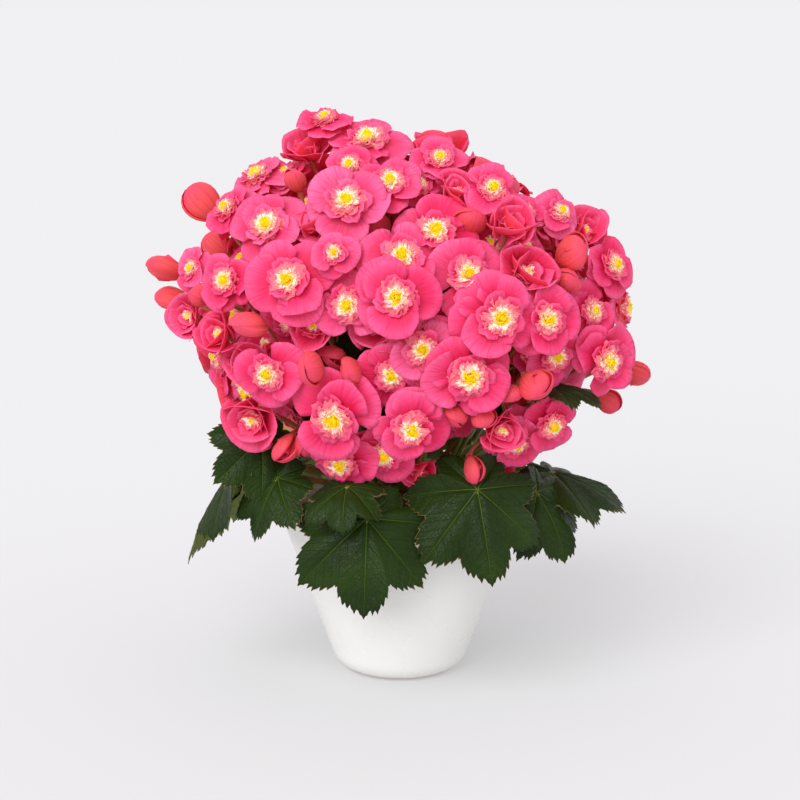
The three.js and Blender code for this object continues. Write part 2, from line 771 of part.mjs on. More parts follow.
// The leaf's stalk runs from the crown to the underside of the blade.
function leafStalk(leaf, index, grow) {
  const hub = vec(...leaf.hub);
  const height = SOIL.crown + LEAF_ROOTS.low + (index % LEAF_ROOTS.tiers) * LEAF_ROOTS.step;
  const flat = vec(hub.x, hub.y, 0).normalize();
  const root = flat.clone().multiplyScalar(CROWN.radius + GAP - grow).setZ(height);
  const top = new THREE.Vector3().setFromMatrixColumn(leafAxes(leaf), 2);
  const tip = new THREE.Vector3().setFromMatrixColumn(leafAxes(leaf), 0);
  const end = hub.addScaledVector(top, -LEAF_THICKNESS * 0.7).addScaledVector(tip, 3);
  const bend = root.clone().lerp(end, 0.62).setZ(Math.max(end.z, height) + 2);
  const curve = new THREE.QuadraticBezierCurve3(root, bend, end);
  const down = UP.clone().negate();
  return stalkSolid(curve, 3, STALK.leaf + grow, STALK.leafEnd + grow, BRANCH_SIDES, down);
}

function makeLeaf(leaf, index) {
  const stalk = leafStalk(leaf, index, 0);
  return {
    body: stalk.add(bladeSolid(leaf, 0)),
    stalk,
    stalkRoom: leafStalk(leaf, index, ROOM),
    bladeRoom: bladeSolid(leaf, ROOM),
  };
}

// ---------------------------------------------------------------- fitting the pieces together

// What would cross a neighbour is trimmed back to its clearance. The stalks stay whole: blades and
// petals give way to every stalk, and each piece gives way to those before it.
function fitTogether(pieces, taken) {
  return pieces.map((piece, index) => {
    let body = piece.body;
    for (const room of taken) if (boxesMeet(body, room)) body = body.subtract(room);
    pieces.forEach((other, place) => {
      if (place === index) return;
      const cut = (room, spared) => {
        if (!boxesMeet(body, room)) return;
        const crossed = boxesMeet(piece.stalk, room) && piece.stalk.intersect(room).volume() > 0;
        body = body.subtract(spared && crossed ? room.subtract(piece.stalkRoom) : room);
      };
      cut(other.stalkRoom, place > index);
      if (place < index) cut(other.bladeRoom, true);
    });
    return { ...piece, solid: largest(body) };
  });
}

// ---------------------------------------------------------------- the plant

const COLOURS = {
  glaze: { color: 0xf2f1ee, roughness: 0.28, metalness: 0 },
  compost: { color: 0x1d1714, roughness: 0.95, metalness: 0 },
  stem: { color: 0x6f7f3a, roughness: 0.5, metalness: 0 },
  leaf: { color: 0x1f4d26, roughness: 0.42, metalness: 0 },
  petal: { color: 0xf0397a, roughness: 0.5, metalness: 0 },
};

function meshOf(name, solid, look) {
  const mesh = new THREE.Mesh(geometryOf(solid), new THREE.MeshStandardMaterial(COLOURS[look]));
  mesh.name = name;
  return mesh;
}

const numbered = (word, index) => `${word}_${String(index + 1).padStart(2, '0')}`;

const chosen = chosenFlowers();
const flowers = settleFlowers([...chosen, ...fillingFlowers(chosen)]);
const groups = groupFlowers(flowers);

const pieces = [
  ...groups.map((group, i) => ({ name: numbered('spray', i), tint: 'petal', ...makeSpray(group) })),
  ...LEAVES.map((leaf, i) => ({ name: numbered('leaf', i), tint: 'leaf', ...makeLeaf(leaf, i) })),
];

const taken = [makeWallRoom(), makeStems(groups, GAP + 0.1)];

const plant = new THREE.Group();
plant.add(meshOf('pot', makePot(), 'glaze'));
plant.add(meshOf('soil', makeSoil(), 'compost'));
plant.add(meshOf('stems', makeStems(groups, 0), 'stem'));
for (const { name, tint, solid } of fitTogether(pieces, taken)) plant.add(meshOf(name, solid, tint));

export default plant;
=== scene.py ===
"""Dresses the potted begonia: glazed pot, compost, hairy stems, veined leaves and double pink blooms.

Lengths are millimetres up to the point where a mesh is made, and metres from there on. The flowers
and leaves stand where the part's own rules put them, so those rules are repeated here.
"""

import json
import math
from dataclasses import dataclass, replace

import bpy
import numpy as np
from bpy.props import FloatProperty, FloatVectorProperty, IntProperty, PointerProperty
from mathutils import Matrix, Vector

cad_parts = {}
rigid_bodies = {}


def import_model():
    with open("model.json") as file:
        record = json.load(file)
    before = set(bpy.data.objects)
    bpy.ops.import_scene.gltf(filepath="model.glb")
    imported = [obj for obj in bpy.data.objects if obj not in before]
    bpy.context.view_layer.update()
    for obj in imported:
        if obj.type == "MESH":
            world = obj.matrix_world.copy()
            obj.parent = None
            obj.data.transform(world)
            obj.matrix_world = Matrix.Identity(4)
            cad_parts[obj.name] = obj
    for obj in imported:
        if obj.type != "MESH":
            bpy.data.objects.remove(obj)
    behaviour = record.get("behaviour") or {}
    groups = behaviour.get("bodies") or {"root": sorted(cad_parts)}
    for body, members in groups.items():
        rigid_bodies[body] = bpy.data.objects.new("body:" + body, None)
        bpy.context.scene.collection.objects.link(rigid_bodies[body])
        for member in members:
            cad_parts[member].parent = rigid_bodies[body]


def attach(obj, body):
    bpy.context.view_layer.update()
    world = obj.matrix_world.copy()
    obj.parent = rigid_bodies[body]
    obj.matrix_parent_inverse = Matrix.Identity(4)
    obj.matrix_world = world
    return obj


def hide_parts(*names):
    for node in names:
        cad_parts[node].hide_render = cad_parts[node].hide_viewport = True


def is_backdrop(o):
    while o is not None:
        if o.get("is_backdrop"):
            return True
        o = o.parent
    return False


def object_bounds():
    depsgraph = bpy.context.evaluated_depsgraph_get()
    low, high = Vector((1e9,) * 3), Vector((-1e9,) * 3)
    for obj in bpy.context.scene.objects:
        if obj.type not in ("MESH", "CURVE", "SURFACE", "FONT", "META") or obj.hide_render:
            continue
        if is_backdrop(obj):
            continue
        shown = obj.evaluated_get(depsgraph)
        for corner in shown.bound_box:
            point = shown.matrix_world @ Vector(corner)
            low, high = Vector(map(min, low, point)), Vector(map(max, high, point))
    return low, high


bl_info = {
    "name": "Potted begonia",
    "version": (1, 0, 0),
    "blender": (4, 5, 0),
    "location": "View3D > Sidebar > Begonia",
    "description": "Builds a double begonia in a white cover pot, piece by piece",
    "category": "Object",
}

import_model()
CAD_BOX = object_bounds()

MM = 0.001

# ---------------------------------------------------------------- the part's own dimensions

# The pot, turned about Z.
POT_RIM = 80.0
POT_FOOT = 40.4
POT_HEIGHT = 111.0
POT_WALL = 4.5
POT_FLOOR = 7.0
POT_FLAT = 26.0
POT_CURVE = 13.0
POT_ROUND = 1.6
INNER_STEP = (8.0, 9.0)

# The compost and the crown that stands in its hole.
SOIL_EDGE = 101.0
SOIL_CROWN = 104.5
HOLE_DEPTH = 22.0
CROWN_RADIUS = 8.0
CROWN_TOP = 122.0
GAP = 0.3

# The dome of flowers, and the point that its sprays fan out from.
DOME_CENTRE = np.array([2.0, 0.0, 232.0])
DOME_RADII = np.array([146.0, 122.0, 116.0])
FAN = np.array([0.0, 0.0, 108.0])
UP = np.array([0.0, 0.0, 1.0])

# The stems, and where they and the sprays part.
SPRAYS = 36
SPRAY_FLOOR = -0.72
MAIN_STEMS = 8
MAIN_FLOOR = -0.5
MAIN_REACH = 0.3
BRANCH_FROM = 0.06
BRANCH_STEP = 0.09
TIP_REACH = 0.42
FORK_FROM = 0.3
FORK_TO = 0.62
LEADER_APPROACH = 24.0
FORK_APPROACH = 12.0
STALK_BEND = 0.2
EVEN_HIGH = 0.98

# How much the placed flowers face the front, and how the flowers sink clear of each other.
FRONT_SEED = 41
FACE_FRONT = 0.34
FRONT = np.array([0.0, -1.0, 0.2]) / math.sqrt(1.04)
SINK_STEP = 3.0
SINK_STEPS = 10
LAYER = 8.0
BUD_LAYER = 6.4
CLOSE = 0.84

OPEN, CUP, BUD = "open", "cup", "bud"

# How far behind a flower's middle its stalk ends, as a share of the half width.
BASE_DEPTHS = {OPEN: 0.24, CUP: 0.6, BUD: 1.0}

# The side that shows: across, height, width, kind, as in the part.
FRONT_FLOWERS = [
    (-47, 357, 32, OPEN),
    (-124, 303, 25, BUD),
    (-147, 262, 25, BUD),
    (149, 196, 21, BUD),
    (-39, 188, 51, OPEN),
    (58, 248, 50, OPEN),
    (41, 213, 49, OPEN),
    (-65, 269, 47, OPEN),
    (-31, 313, 47, OPEN),
    (-79, 298, 45, OPEN),
    (-2, 261, 45, OPEN),
    (126, 214, 46, OPEN),
    (-33, 257, 43, OPEN),
    (42, 275, 46, OPEN),
    (7, 182, 43, OPEN),
    (1, 286, 45, OPEN),
    (22, 303, 46, OPEN),
    (-20, 345, 49, OPEN),
    (-36, 156, 41, OPEN),
    (-11, 155, 43, OPEN),
    (88, 245, 40, OPEN),
    (92, 177, 36, OPEN),
    (73, 162, 37, OPEN),
    (-78, 213, 40, OPEN),
    (-104, 265, 37, OPEN),
    (131, 270, 36, OPEN),
    (14, 229, 40, OPEN),
    (-6, 209, 38, OPEN),
    (-6, 326, 38, OPEN),
    (24, 336, 32, OPEN),
    (55, 319, 35, OPEN),
    (76, 310, 30, OPEN),
    (103, 217, 36, OPEN),
    (124, 246, 34, OPEN),
    (80, 274, 33, CUP),
    (66, 298, 30, CUP),
    (61, 136, 30, CUP),
    (61, 177, 26, CUP),
    (-89, 180, 34, CUP),
    (119, 294, 31, CUP),
    (-58, 242, 27, CUP),
    (-56, 304, 25, CUP),
    (-58, 338, 31, CUP),
    (-38, 285, 27, OPEN),
    (-107, 304, 33, OPEN),
    (-128, 268, 27, OPEN),
    (-90, 322, 36, OPEN),
    (-78, 334, 30, OPEN),
    (-31, 334, 31, OPEN),
    (12, 331, 28, OPEN),
    (84, 294, 26, OPEN),
    (97, 304, 28, OPEN),
    (-130, 240, 27, CUP),
    (-109, 231, 26, CUP),
    (-95, 214, 26, CUP),
    (12, 141, 27, CUP),
    (36, 324, 25, CUP),
    (-51, 219, 21, BUD),
    (-31, 214, 18, BUD),
    (-88, 242, 23, BUD),
    (-69, 165, 19, BUD),
    (-59, 163, 20, BUD),
    (79, 208, 22, BUD),
    (67, 200, 15, BUD),
    (44, 309, 21, BUD),
    (101, 281, 23, BUD),
    (102, 267, 18, BUD),
    (44, 151, 17, BUD),
    (34, 188, 16, BUD),
    (50, 187, 16, BUD),
    (-63, 322, 15, BUD),
    (-119, 254, 16, BUD),
    (-92, 200, 15, BUD),
    (-144, 243, 20, BUD),
    (131, 182, 16, BUD),
]

# The flowers of the sides, the top and the back.
FILL_SEED = 977
FILL_TRIALS = 400
FILL_HIGH = 0.99
FILL_LOW = -0.66
FILL_APART = 34.6
FILL_BUD_APART = 26.0
FILL_BUD_EVERY = 3
FILL_MOST_BUDS = 8
FILL_WIDTHS = {OPEN: 1.0, CUP: 0.8, BUD: 0.45}
FILL_WIDEST = 51.0
FILL_NARROWEST = 44.0
FILL_CUP_EVERY = 6
FILL_TILT = 0.3
FILL_LIFT = 0.4
FILL_REACH = 0.95
FILL_WAIST = 0.79
FILL_SHOULDER = 32.0

# Flowers deeper in the dome, which the part leaves out: they show in the gaps between the others.
TUCK_SEED = 2027
TUCK_TRIALS = 300
TUCK_KINDS = (OPEN, CUP, OPEN, BUD)
TUCK_HIGH = 0.95
TUCK_LOW = -0.62
TUCK_REACH = 0.8
TUCK_APART = 24.0
TUCK_NARROWEST = 30.0
TUCK_WIDEST = 38.0
TUCK_BUD = 0.6
TUCK_LIFT = 0.3

# How a cup sits on its stalk: those that hang among the leaves stay behind the leaves' edges.
NOD = 0.5
LOW_CUPS = 160.0
LOW_CUP_BACK = 7.0
LOW_CUP_CLOSED = 6.0
LOW_CUP_SIZE = 0.82


@dataclass
class Leaf:
    """A leaf: its hub, its length, and in degrees its tip's heading and dip, its bend and its roll."""
    hub: tuple
    heading: float
    dip: float
    length: float
    bend: float
    roll: float

    def axes(self):
        """Columns: towards the tip, to the side, and out of the upper face."""
        heading, dip = math.radians(self.heading), math.radians(self.dip)
        tip = np.array([math.cos(heading) * math.cos(dip), math.sin(heading) * math.cos(dip), -math.sin(dip)])
        level = unit(np.cross(UP, tip))
        side = np.array(Matrix.Rotation(math.radians(self.roll), 3, Vector(tip)) @ Vector(level))
        return np.column_stack([tip, side, np.cross(tip, side)])


# Leaves, as in the part.
LEAVES = [
    Leaf((-20, -89, 122), -94, 62, 58, 26, -4),
    Leaf((-32, -86, 142), -99, 16, 34, 60, 5),
    Leaf((47, -84, 139), -69, 62, 56, 20, 12),
    Leaf((86, -46, 128), -34, 50, 46, 30, 12),
    Leaf((97, -14, 134), -8, 14, 52, 26, 6),
    Leaf((96, 22, 122), 12, 26, 46, 30, -8),
    Leaf((-85, -52, 164), -84, 66, 41, 20, -14),
    Leaf((90, -58, 200), -20, 2, 36, 34, -6),
    Leaf((-102, -10, 142), 192, 52, 72, 20, 18),
    Leaf((-76, -61, 141), -132, 47, 40, 30, 0),
    Leaf((-86, 40, 122), 146, 34, 50, 30, 4),
    Leaf((-46, 80, 138), 122, 42, 52, 30, -4),
    Leaf((8, 88, 122), 86, 40, 52, 26, 4),
    Leaf((56, 74, 138), 54, 42, 52, 30, 6),
]

# ---------------------------------------------------------------- what a user would change


def linear(code):
    """The linear colour of a six-figure screen colour."""
    parts = [int(code[i:i + 2], 16) / 255 for i in (0, 2, 4)]
    return tuple(p / 12.92 if p <= 0.04045 else ((p + 0.055) / 1.055) ** 2.4 for p in parts)


def colour(name, code, description):
    """A colour that a user can change."""
    return FloatVectorProperty(
        name=name, description=description, default=linear(code), subtype="COLOR", min=0, max=1)


class PotSettings(bpy.types.PropertyGroup):
    """The glazed pot and the compost in it."""
    glaze: colour("Glaze", "ECEBE8", "Colour of the glaze")
    clay: colour("Clay", "C9A98C", "Colour of the bare clay at the foot")
    compost: colour("Compost", "1B1511", "Colour of damp compost")
    bark: colour("Bark", "4A3625", "Colour of the lighter crumbs")
    sides: IntProperty(name="Sides", description="Steps round the pot", default=160, min=24)
    crumbs: FloatProperty(
        name="Crumbs", description="Crumbs on each square metre of compost", default=90000, min=0)


class BloomSettings(bpy.types.PropertyGroup):
    """Petals, their frilled hearts and the buds."""
    spread: FloatProperty(
        name="Spread", description="Size of the petals against the solids'", default=1.1, min=0.5)
    ruffle: FloatProperty(
        name="Ruffle", description="Height of the waves in the petals", default=2.8 * MM,
        subtype="DISTANCE", unit="LENGTH", min=0)
    pink: colour("Pink", "EA3069", "Colour of the petals' faces")
    # Painted light: besides the palest petals' own tone, this pales every petal's rim where the light falls.
    light: colour("Light pink", "F87AAE", "Colour of the palest petals and of their rims")
    # Painted shade: this darkens each petal towards its base and along its creases, where the petals shade
    # each other.
    deep: colour("Deep pink", "C80A3E", "Colour towards the petals' base")
    coral: colour("Coral", "EC5A54", "Colour of the petals' backs and of the buds")
    stripe: colour("Stripe", "C22A3E", "Colour of the veins on the backs")
    neck: colour("Neck", "8E5A30", "Colour where a back meets its stalk")
    cream: colour("Cream", "FFF0D4", "Colour of the frill's inner part")
    yellow: colour("Yellow", "FFD60E", "Colour of the very middle")
    # Painted light: every petal glows by itself at this strength, standing in for the light that comes
    # through thin petals and lifting the shade between them.
    painted_glow: FloatProperty(
        name="Glow", description="Light that comes through the thin frilled petals", default=0.2, min=0)


class LeafSettings(bpy.types.PropertyGroup):
    """Leaf blades and stalks."""
    green: colour("Green", "182A03", "Colour of the upper face")
    vein: colour("Vein", "66862A", "Colour of the veins")
    under: colour("Underside", "6A7838", "Colour of the lower face")
    rim: colour("Rim", "9A7A55", "Colour of the blade's thin rim")
    stalk: colour("Stalk", "7F8F3C", "Colour of the stems and stalks")
    blush: colour("Blush", "B4503C", "Colour of a stalk near its flower")
    thickness: FloatProperty(
        name="Thickness", description="Thickness of a blade", default=0.7 * MM,
        subtype="DISTANCE", unit="LENGTH", min=0)
    hairs: FloatProperty(
        name="Hairs", description="Hairs on each square metre of stem", default=90000, min=0)


class StageSettings(bpy.types.PropertyGroup):
    """Floor, lights and camera."""
    floor: colour("Floor", "B4B4B5", "Colour of the floor")
    lit: FloatProperty(name="Lit", description="Light that the floor gives by itself", default=0.33, min=0)
    room: colour("Room", "F0EFF1", "Colour of the light that comes from all round")
    sun: FloatProperty(name="Sun", description="Strength of the broad key light", default=2.2, min=0)
    distance: FloatProperty(
        name="Distance", description="From the camera to the plant", default=1.282,
        subtype="DISTANCE", unit="LENGTH", min=0.3)
    elevation: FloatProperty(
        name="Elevation", description="Height of the camera over the horizon",
        default=math.radians(11.2), subtype="ANGLE", unit="ROTATION")
    aim: FloatProperty(
        name="Aim", description="Height that the camera looks at", default=0.1774,
        subtype="DISTANCE", unit="LENGTH")
    lens: FloatProperty(
        name="Lens", description="Focal length in millimetres", default=89.6, min=20, max=200)


# ---------------------------------------------------------------- node trees as expressions


class Value:
    """A socket in an expression: arithmetic on it adds Math nodes to its tree."""

    def __init__(self, sketch, socket):
        self.sketch = sketch
        self.socket = socket

    def math(self, operation, *others):
        sockets = dict(enumerate((self, *others)))
        made = self.sketch.node("ShaderNodeMath", {"operation": operation}, sockets)
        return Value(self.sketch, made.outputs[0])

    def __add__(self, other):
        return self.math("ADD", other)

    def __mul__(self, other):
        return self.math("MULTIPLY", other)

    def __sub__(self, other):
        return self.math("SUBTRACT", other)

    def __rsub__(self, other):
        return self * -1 + other

    def __truediv__(self, other):
        return self.math("DIVIDE", other)

    __radd__ = __add__
    __rmul__ = __mul__

    def ease(self, low, high):
        """0 below low and 1 above high, with a smooth change between them."""
        sockets = {"Value": self, "From Min": low, "From Max": high}
        settings = {"interpolation_type": "SMOOTHSTEP"}
        return self.sketch.value("ShaderNodeMapRange", settings, sockets, "Result")

    def near(self, place, width):
        """1 at place, falling to 0 a width away from it."""
        return 1 - (self - place).math("ABSOLUTE").ease(0, width)


class Sketch:
    """A shader or geometry tree, with one method for any node."""

    def __init__(self, tree):
        self.tree = tree

    def node(self, kind, settings=None, sockets=None):
        made = self.tree.nodes.new(kind)
        for name, setting in (settings or {}).items():
            setattr(made, name, setting)
        for name, content in (sockets or {}).items():
            if content is not None:
                self.feed(self.socket(made.inputs, name), content)
        return made

    def value(self, kind, settings, sockets, output):
        made = self.node(kind, settings, sockets)
        return Value(self, self.socket(made.outputs, output))

    @staticmethod
    def socket(sockets, name):
        if isinstance(name, int):
            return sockets[name]
        return next(s for s in sockets if s.enabled and s.name == name)

    def feed(self, socket, content):
        if isinstance(content, Value):
            self.tree.links.new(content.socket, socket)
        elif isinstance(content, list):
            for one in content:
                self.tree.links.new(one.socket, socket)
        elif socket.type == "RGBA" and len(content) == 3:
            socket.default_value = (*content, 1)
        else:
            socket.default_value = content

    def vector(self, x, y, z):
        return self.value("ShaderNodeCombineXYZ", {}, {"X": x, "Y": y, "Z": z}, "Vector")

    def mix(self, factor, first, second):
        sockets = {"Factor": factor, "A": first, "B": second}
        return self.value("ShaderNodeMix", {"data_type": "RGBA"}, sockets, "Result")


class Finish(Sketch):
    """A material built from the object's own coordinates and attributes."""

    def __init__(self, name):
        self.material = bpy.data.materials.new(name)
        self.material.use_nodes = True
        super().__init__(self.material.node_tree)
        self.tree.nodes.clear()

    def place(self):
        return self.value("ShaderNodeTexCoord", {}, {}, "Object")

    def attribute(self, name):
        return self.value("ShaderNodeAttribute", {"attribute_name": name}, {}, "Fac")

    def noise(self, scale, at=None, detail=3.0, roughness=0.5):
        sockets = {"Vector": at or self.place(), "Scale": scale, "Detail": detail, "Roughness": roughness}
        return self.value("ShaderNodeTexNoise", {}, sockets, "Fac")

    def cells(self, scale):
        sockets = {"Vector": self.place(), "Scale": scale}
        return self.value("ShaderNodeTexVoronoi", {"feature": "DISTANCE_TO_EDGE"}, sockets, "Distance")

    def bump(self, height, distance, strength=1.0, after=None):
        sockets = {"Height": height, "Distance": distance, "Strength": strength, "Normal": after}
        return self.value("ShaderNodeBump", {}, sockets, "Normal")

    def surface(self, **sockets):
        """Ends the tree in one Principled shader; names are given with _ for a space."""
        named = {name.replace("_", " "): content for name, content in sockets.items()}
        shader = self.node("ShaderNodeBsdfPrincipled", {}, named)
        output = self.node("ShaderNodeOutputMaterial")
        self.tree.links.new(shader.outputs[0], output.inputs["Surface"])
        return self.material


# ---------------------------------------------------------------- finishes


def scaled(shade, factor):
    """A colour made lighter or darker."""
    return tuple(part * factor for part in shade)


def glaze_finish(pot):
    """Satin white glaze that pools slightly, over a bare clay foot ring."""
    shade = Finish("glaze")
    height = shade.value("ShaderNodeSeparateXYZ", {}, {"Vector": shade.place()}, "Z")
    mottle = shade.noise(28, detail=4)
    bare = 1 - (height + mottle * 0.0012).ease(0.0012, 0.0026)
    pooled = shade.mix(mottle.ease(0.35, 0.75) * 0.35, pot.glaze, scaled(pot.glaze, 0.93))
    specks = 1 - shade.cells(900).ease(0.0, 0.05)
    waves = shade.bump(shade.noise(14, detail=2), 0.0009, 0.35)
    return shade.surface(
        Base_Color=shade.mix(bare, pooled, pot.clay),
        Roughness=bare * 0.5 + mottle * 0.1 + 0.22,
        Normal=shade.bump(specks * bare + mottle * 0.1, 0.0002, 0.4, waves),
        Coat_Weight=(1 - bare) * 0.5,
        Coat_Roughness=0.12,
    )


def compost_finish(pot):
    """Damp dark compost with lighter bark."""
    shade = Finish("compost")
    lumps = shade.noise(420, detail=6, roughness=0.65)
    bits = shade.noise(160, detail=1).ease(0.58, 0.7)
    return shade.surface(
        Base_Color=shade.mix(bits * 0.8, pot.compost, pot.bark),
        Roughness=lumps * 0.2 + 0.72,
        Normal=shade.bump(lumps, 0.0012, 0.9),
    )


def stalk_finish(leaf):
    """Fleshy stems: green below, blushed near the flowers, with fine lengthwise ridges."""
    shade = Finish("stalk")
    blush = shade.attribute("blush")
    flecks = shade.noise(260, detail=3)
    body = shade.mix(flecks.ease(0.4, 0.8) * 0.5, leaf.stalk, leaf.green)
    return shade.surface(
        Base_Color=shade.mix((blush + flecks * 0.3 - 0.15).ease(0.1, 1.0), body, leaf.blush),
        Roughness=flecks * 0.2 + 0.38,
        Normal=shade.bump(shade.noise(900, detail=2), 0.0002, 0.5),
        Subsurface_Weight=0.15,
        Subsurface_Scale=0.003,
    )


def leaf_finish(leaf):
    """A waxy upper face with palmate veins, a thin brown rim and a pale lower face."""
    shade = Finish("leaf")
    along = shade.attribute("along")
    across = shade.attribute("across")
    edge = shade.attribute("edge")
    under = shade.attribute("under")
    wander = shade.noise(120, detail=2)
    main = 1 - (across - (1 - edge) * 0.25).ease(0.03, 0.32)
    step = ((along - across * FOLD_LEAN + wander * 1.6) / FOLD_LENGTH).math("FRACT")
    side = step.near(0.5, 0.05) * across.ease(0.2, 1.2)
    net = 1 - shade.cells(520).ease(0.0, 0.09)
    veins = (main + side * 0.35 + net * 0.06).math("MINIMUM", 1.0)
    mottle = shade.noise(38, detail=5).ease(0.3, 0.75)
    mottled = shade.mix(mottle * 0.8, leaf.green, scaled(leaf.green, 1.9))
    upper = shade.mix(veins * (1 - edge * 0.6) * 0.45, mottled, leaf.vein)
    lower = shade.mix(veins * 0.5, leaf.under, leaf.vein)
    face = shade.mix(under, upper, lower)
    scorched = shade.noise(26, detail=2).ease(0.45, 0.62) * 0.8
    puffed = shade.noise(230, detail=3) * 0.45 - main * 0.9 - side * 0.8 - net * 0.3
    return shade.surface(
        Base_Color=shade.mix(edge.ease(0.98, 0.998) * scorched, face, leaf.rim),
        Roughness=under * 0.18 + shade.noise(90, detail=3) * 0.22 + 0.28,
        Normal=shade.bump(puffed, 0.0011, 0.7),
        Specular_IOR_Level=0.18,
    )


def petal_finish(bloom):
    """Pink petals with fine veins and coral backs; the frilled ones run to cream and yellow. Painted shade
    deepens the faces towards the base and in the creases, painted light pales their rims, and every petal
    glows a little with painted light.
    """
    shade = Finish("petal")
    along = shade.attribute("along")
    across = shade.attribute("across")
    under = shade.attribute("under")
    layer = shade.attribute("layer")
    tint = shade.attribute("tint")
    coral = shade.attribute("coral")
    veins = shade.noise(1.6, at=shade.vector(across * 11.0, along * 1.5, tint * 37.0), detail=3)
    stripes = shade.noise(2.0, at=shade.vector(across * 11.0, along * 0.4, tint * 53.0), detail=1.5)
    wash = shade.noise(34, detail=2)
    # Painted shade and painted light: each face runs from deep pink at its base, where the petals overlap in
    # shade, to pale pink at its rim, where the light falls; tint makes some petals paler in their own tone.
    spread = along + wash * 0.6 - 0.3
    face = shade.mix(spread.ease(0.15, 0.85), bloom.deep, bloom.pink)
    pale = spread.ease(0.6, 1.15) * 0.45 + tint.ease(0.3, 1.0) * 0.35
    face = shade.mix(pale, face, bloom.light)
    # Darker along the veins: partly the veins' own colour, partly painted shade in the creases between them.
    face = shade.mix(veins.ease(0.48, 0.7) * 0.4, face, bloom.deep)
    back = shade.mix(spread.ease(0.35, 1.0) * 0.6, bloom.coral, bloom.pink)
    back = shade.mix(stripes.ease(0.46, 0.64) * (1 - along * 0.7) * 0.6, back, bloom.stripe)
    back = shade.mix((along + wash * 0.3).ease(0.12, 0.34), bloom.neck, back)
    petal = shade.mix(under * 0.8, face, back)
    petal = shade.mix(coral * (wash * 0.6 + 0.6), petal, back)
    # The frill is cream with pink tips outside, and yellow towards the flower's middle.
    inner = layer.ease(0.62, 0.78)
    pink_from = inner * 0.5 + 0.4
    pinked = (along + (stripes - 0.5) * 1.2 - pink_from).ease(-0.02, 0.22)
    frill = shade.mix(pinked * 0.85, bloom.cream, bloom.pink)
    # Each frill petal turns pink on the outer frills and yellow on the inner ones towards its base: partly
    # its own colour, partly painted shade, warm rather than grey, in the crevices between the petals.
    depth = shade.mix(inner, bloom.pink, bloom.yellow)
    frill = shade.mix((along - inner * 0.3).ease(0.1, 0.42), depth, frill)
    heart = shade.mix(wash.ease(0.35, 0.8) * 0.25, bloom.yellow, scaled(bloom.yellow, 0.8))
    frill = shade.mix(layer.ease(0.84, 0.88), frill, heart)
    frilled = layer.ease(0.45, 0.55)
    fine = shade.noise(1500, detail=1)
    return shade.surface(
        Base_Color=shade.mix(frilled, petal, frill),
        Roughness=wash * 0.16 + 0.45,
        Normal=shade.bump(veins * 0.9 + fine * 0.1, 0.0008, 0.7),
        Specular_IOR_Level=0.2,
        Subsurface_Weight=0.2,
        Subsurface_Radius=(1.0, 0.3, 0.25),
        Subsurface_Scale=0.003,
        # Painted light: the petals glow by themselves, the frilled ones in their own cream, pink and yellow,
        # the others in a dim deep pink, to lift the shade between them.
        Emission_Color=shade.mix(frilled, scaled(bloom.deep, 0.25), frill),
        Emission_Strength=bloom.painted_glow,
    )


def floor_finish(stage):
    """A pale floor that gives some light itself, so that it meets the room's light without a line."""
    shade = Finish("floor")
    return shade.surface(
        Base_Color=stage.floor, Roughness=shade.noise(6, detail=2) * 0.05 + 0.7,
        Specular_IOR_Level=0.0, Emission_Color=stage.room, Emission_Strength=stage.lit)


# ---------------------------------------------------------------- where the flowers are


@dataclass
class Flower:
    """A bloom, cup or bud: its middle, the way it faces, its width and its turn."""
    point: np.ndarray
    facing: np.ndarray
    width: float
    kind: str
    turn: float

    def axes(self):
        """Columns: the flower's own X, Y and Z, with Z along the way that it faces."""
        side = unit(np.cross(UP, self.facing))
        other = np.cross(self.facing, side)
        angle = 2 * math.pi * self.turn
        return np.column_stack([
            side * math.cos(angle) + other * math.sin(angle),
            other * math.cos(angle) - side * math.sin(angle),
            self.facing,
        ])

    def base(self):
        """Where the stalk meets the flower."""
        depth = BASE_DEPTHS[self.kind] * self.width / 2
        return self.point - self.facing * (depth + (LOW_CUP_BACK if self.low_cup() else 0))

    def low_cup(self):
        """Whether it is a cup that hangs among the leaves."""
        return self.kind == CUP and self.point[2] < LOW_CUPS


def unit(vector):
    """The vector, one long."""
    return vector / np.linalg.norm(vector)


def lerp(a, b, share):
    return a + (b - a) * share


def turned(axis, degrees):
    return np.array(Matrix.Rotation(math.radians(degrees), 3, axis))


DRAW_FACTOR = 16807
DRAW_SPAN = 2**31 - 1


def seeded(seed):
    """A repeatable sequence of numbers from 0 to 1, the same as the part's."""
    state = seed

    def draw():
        nonlocal state
        state = state * DRAW_FACTOR % DRAW_SPAN
        return state / DRAW_SPAN

    return draw


def outward(point):
    """The dome's outward direction at a point on or near it."""
    return unit((point - DOME_CENTRE) / DOME_RADII**2)


def front_point(x, z):
    """The point of the dome's front face at a place across it and a height."""
    share = ((x - DOME_CENTRE[0]) / DOME_RADII[0]) ** 2 + ((z - DOME_CENTRE[2]) / DOME_RADII[2]) ** 2
    return np.array([x, -DOME_RADII[1] * math.sqrt(max(0.0, 1 - share)), z])


def chosen_flowers():
    """The flowers of the side that shows."""
    draw = seeded(FRONT_SEED)
    flowers = []
    for x, z, width, kind in FRONT_FLOWERS:
        point = front_point(x, z)
        facing = unit(lerp(outward(point), FRONT, 0 if kind == BUD else FACE_FRONT))
        flowers.append(Flower(point, facing, width, kind, draw()))
    return flowers


def spiral_point(index, height):
    """A step of an even spiral round the dome, at a height from -1 to 1."""
    turn = index * math.pi * (3 - math.sqrt(5))
    across = math.sqrt(1 - height * height)
    return np.array([across * math.cos(turn), across * math.sin(turn), height]) * DOME_RADII + DOME_CENTRE


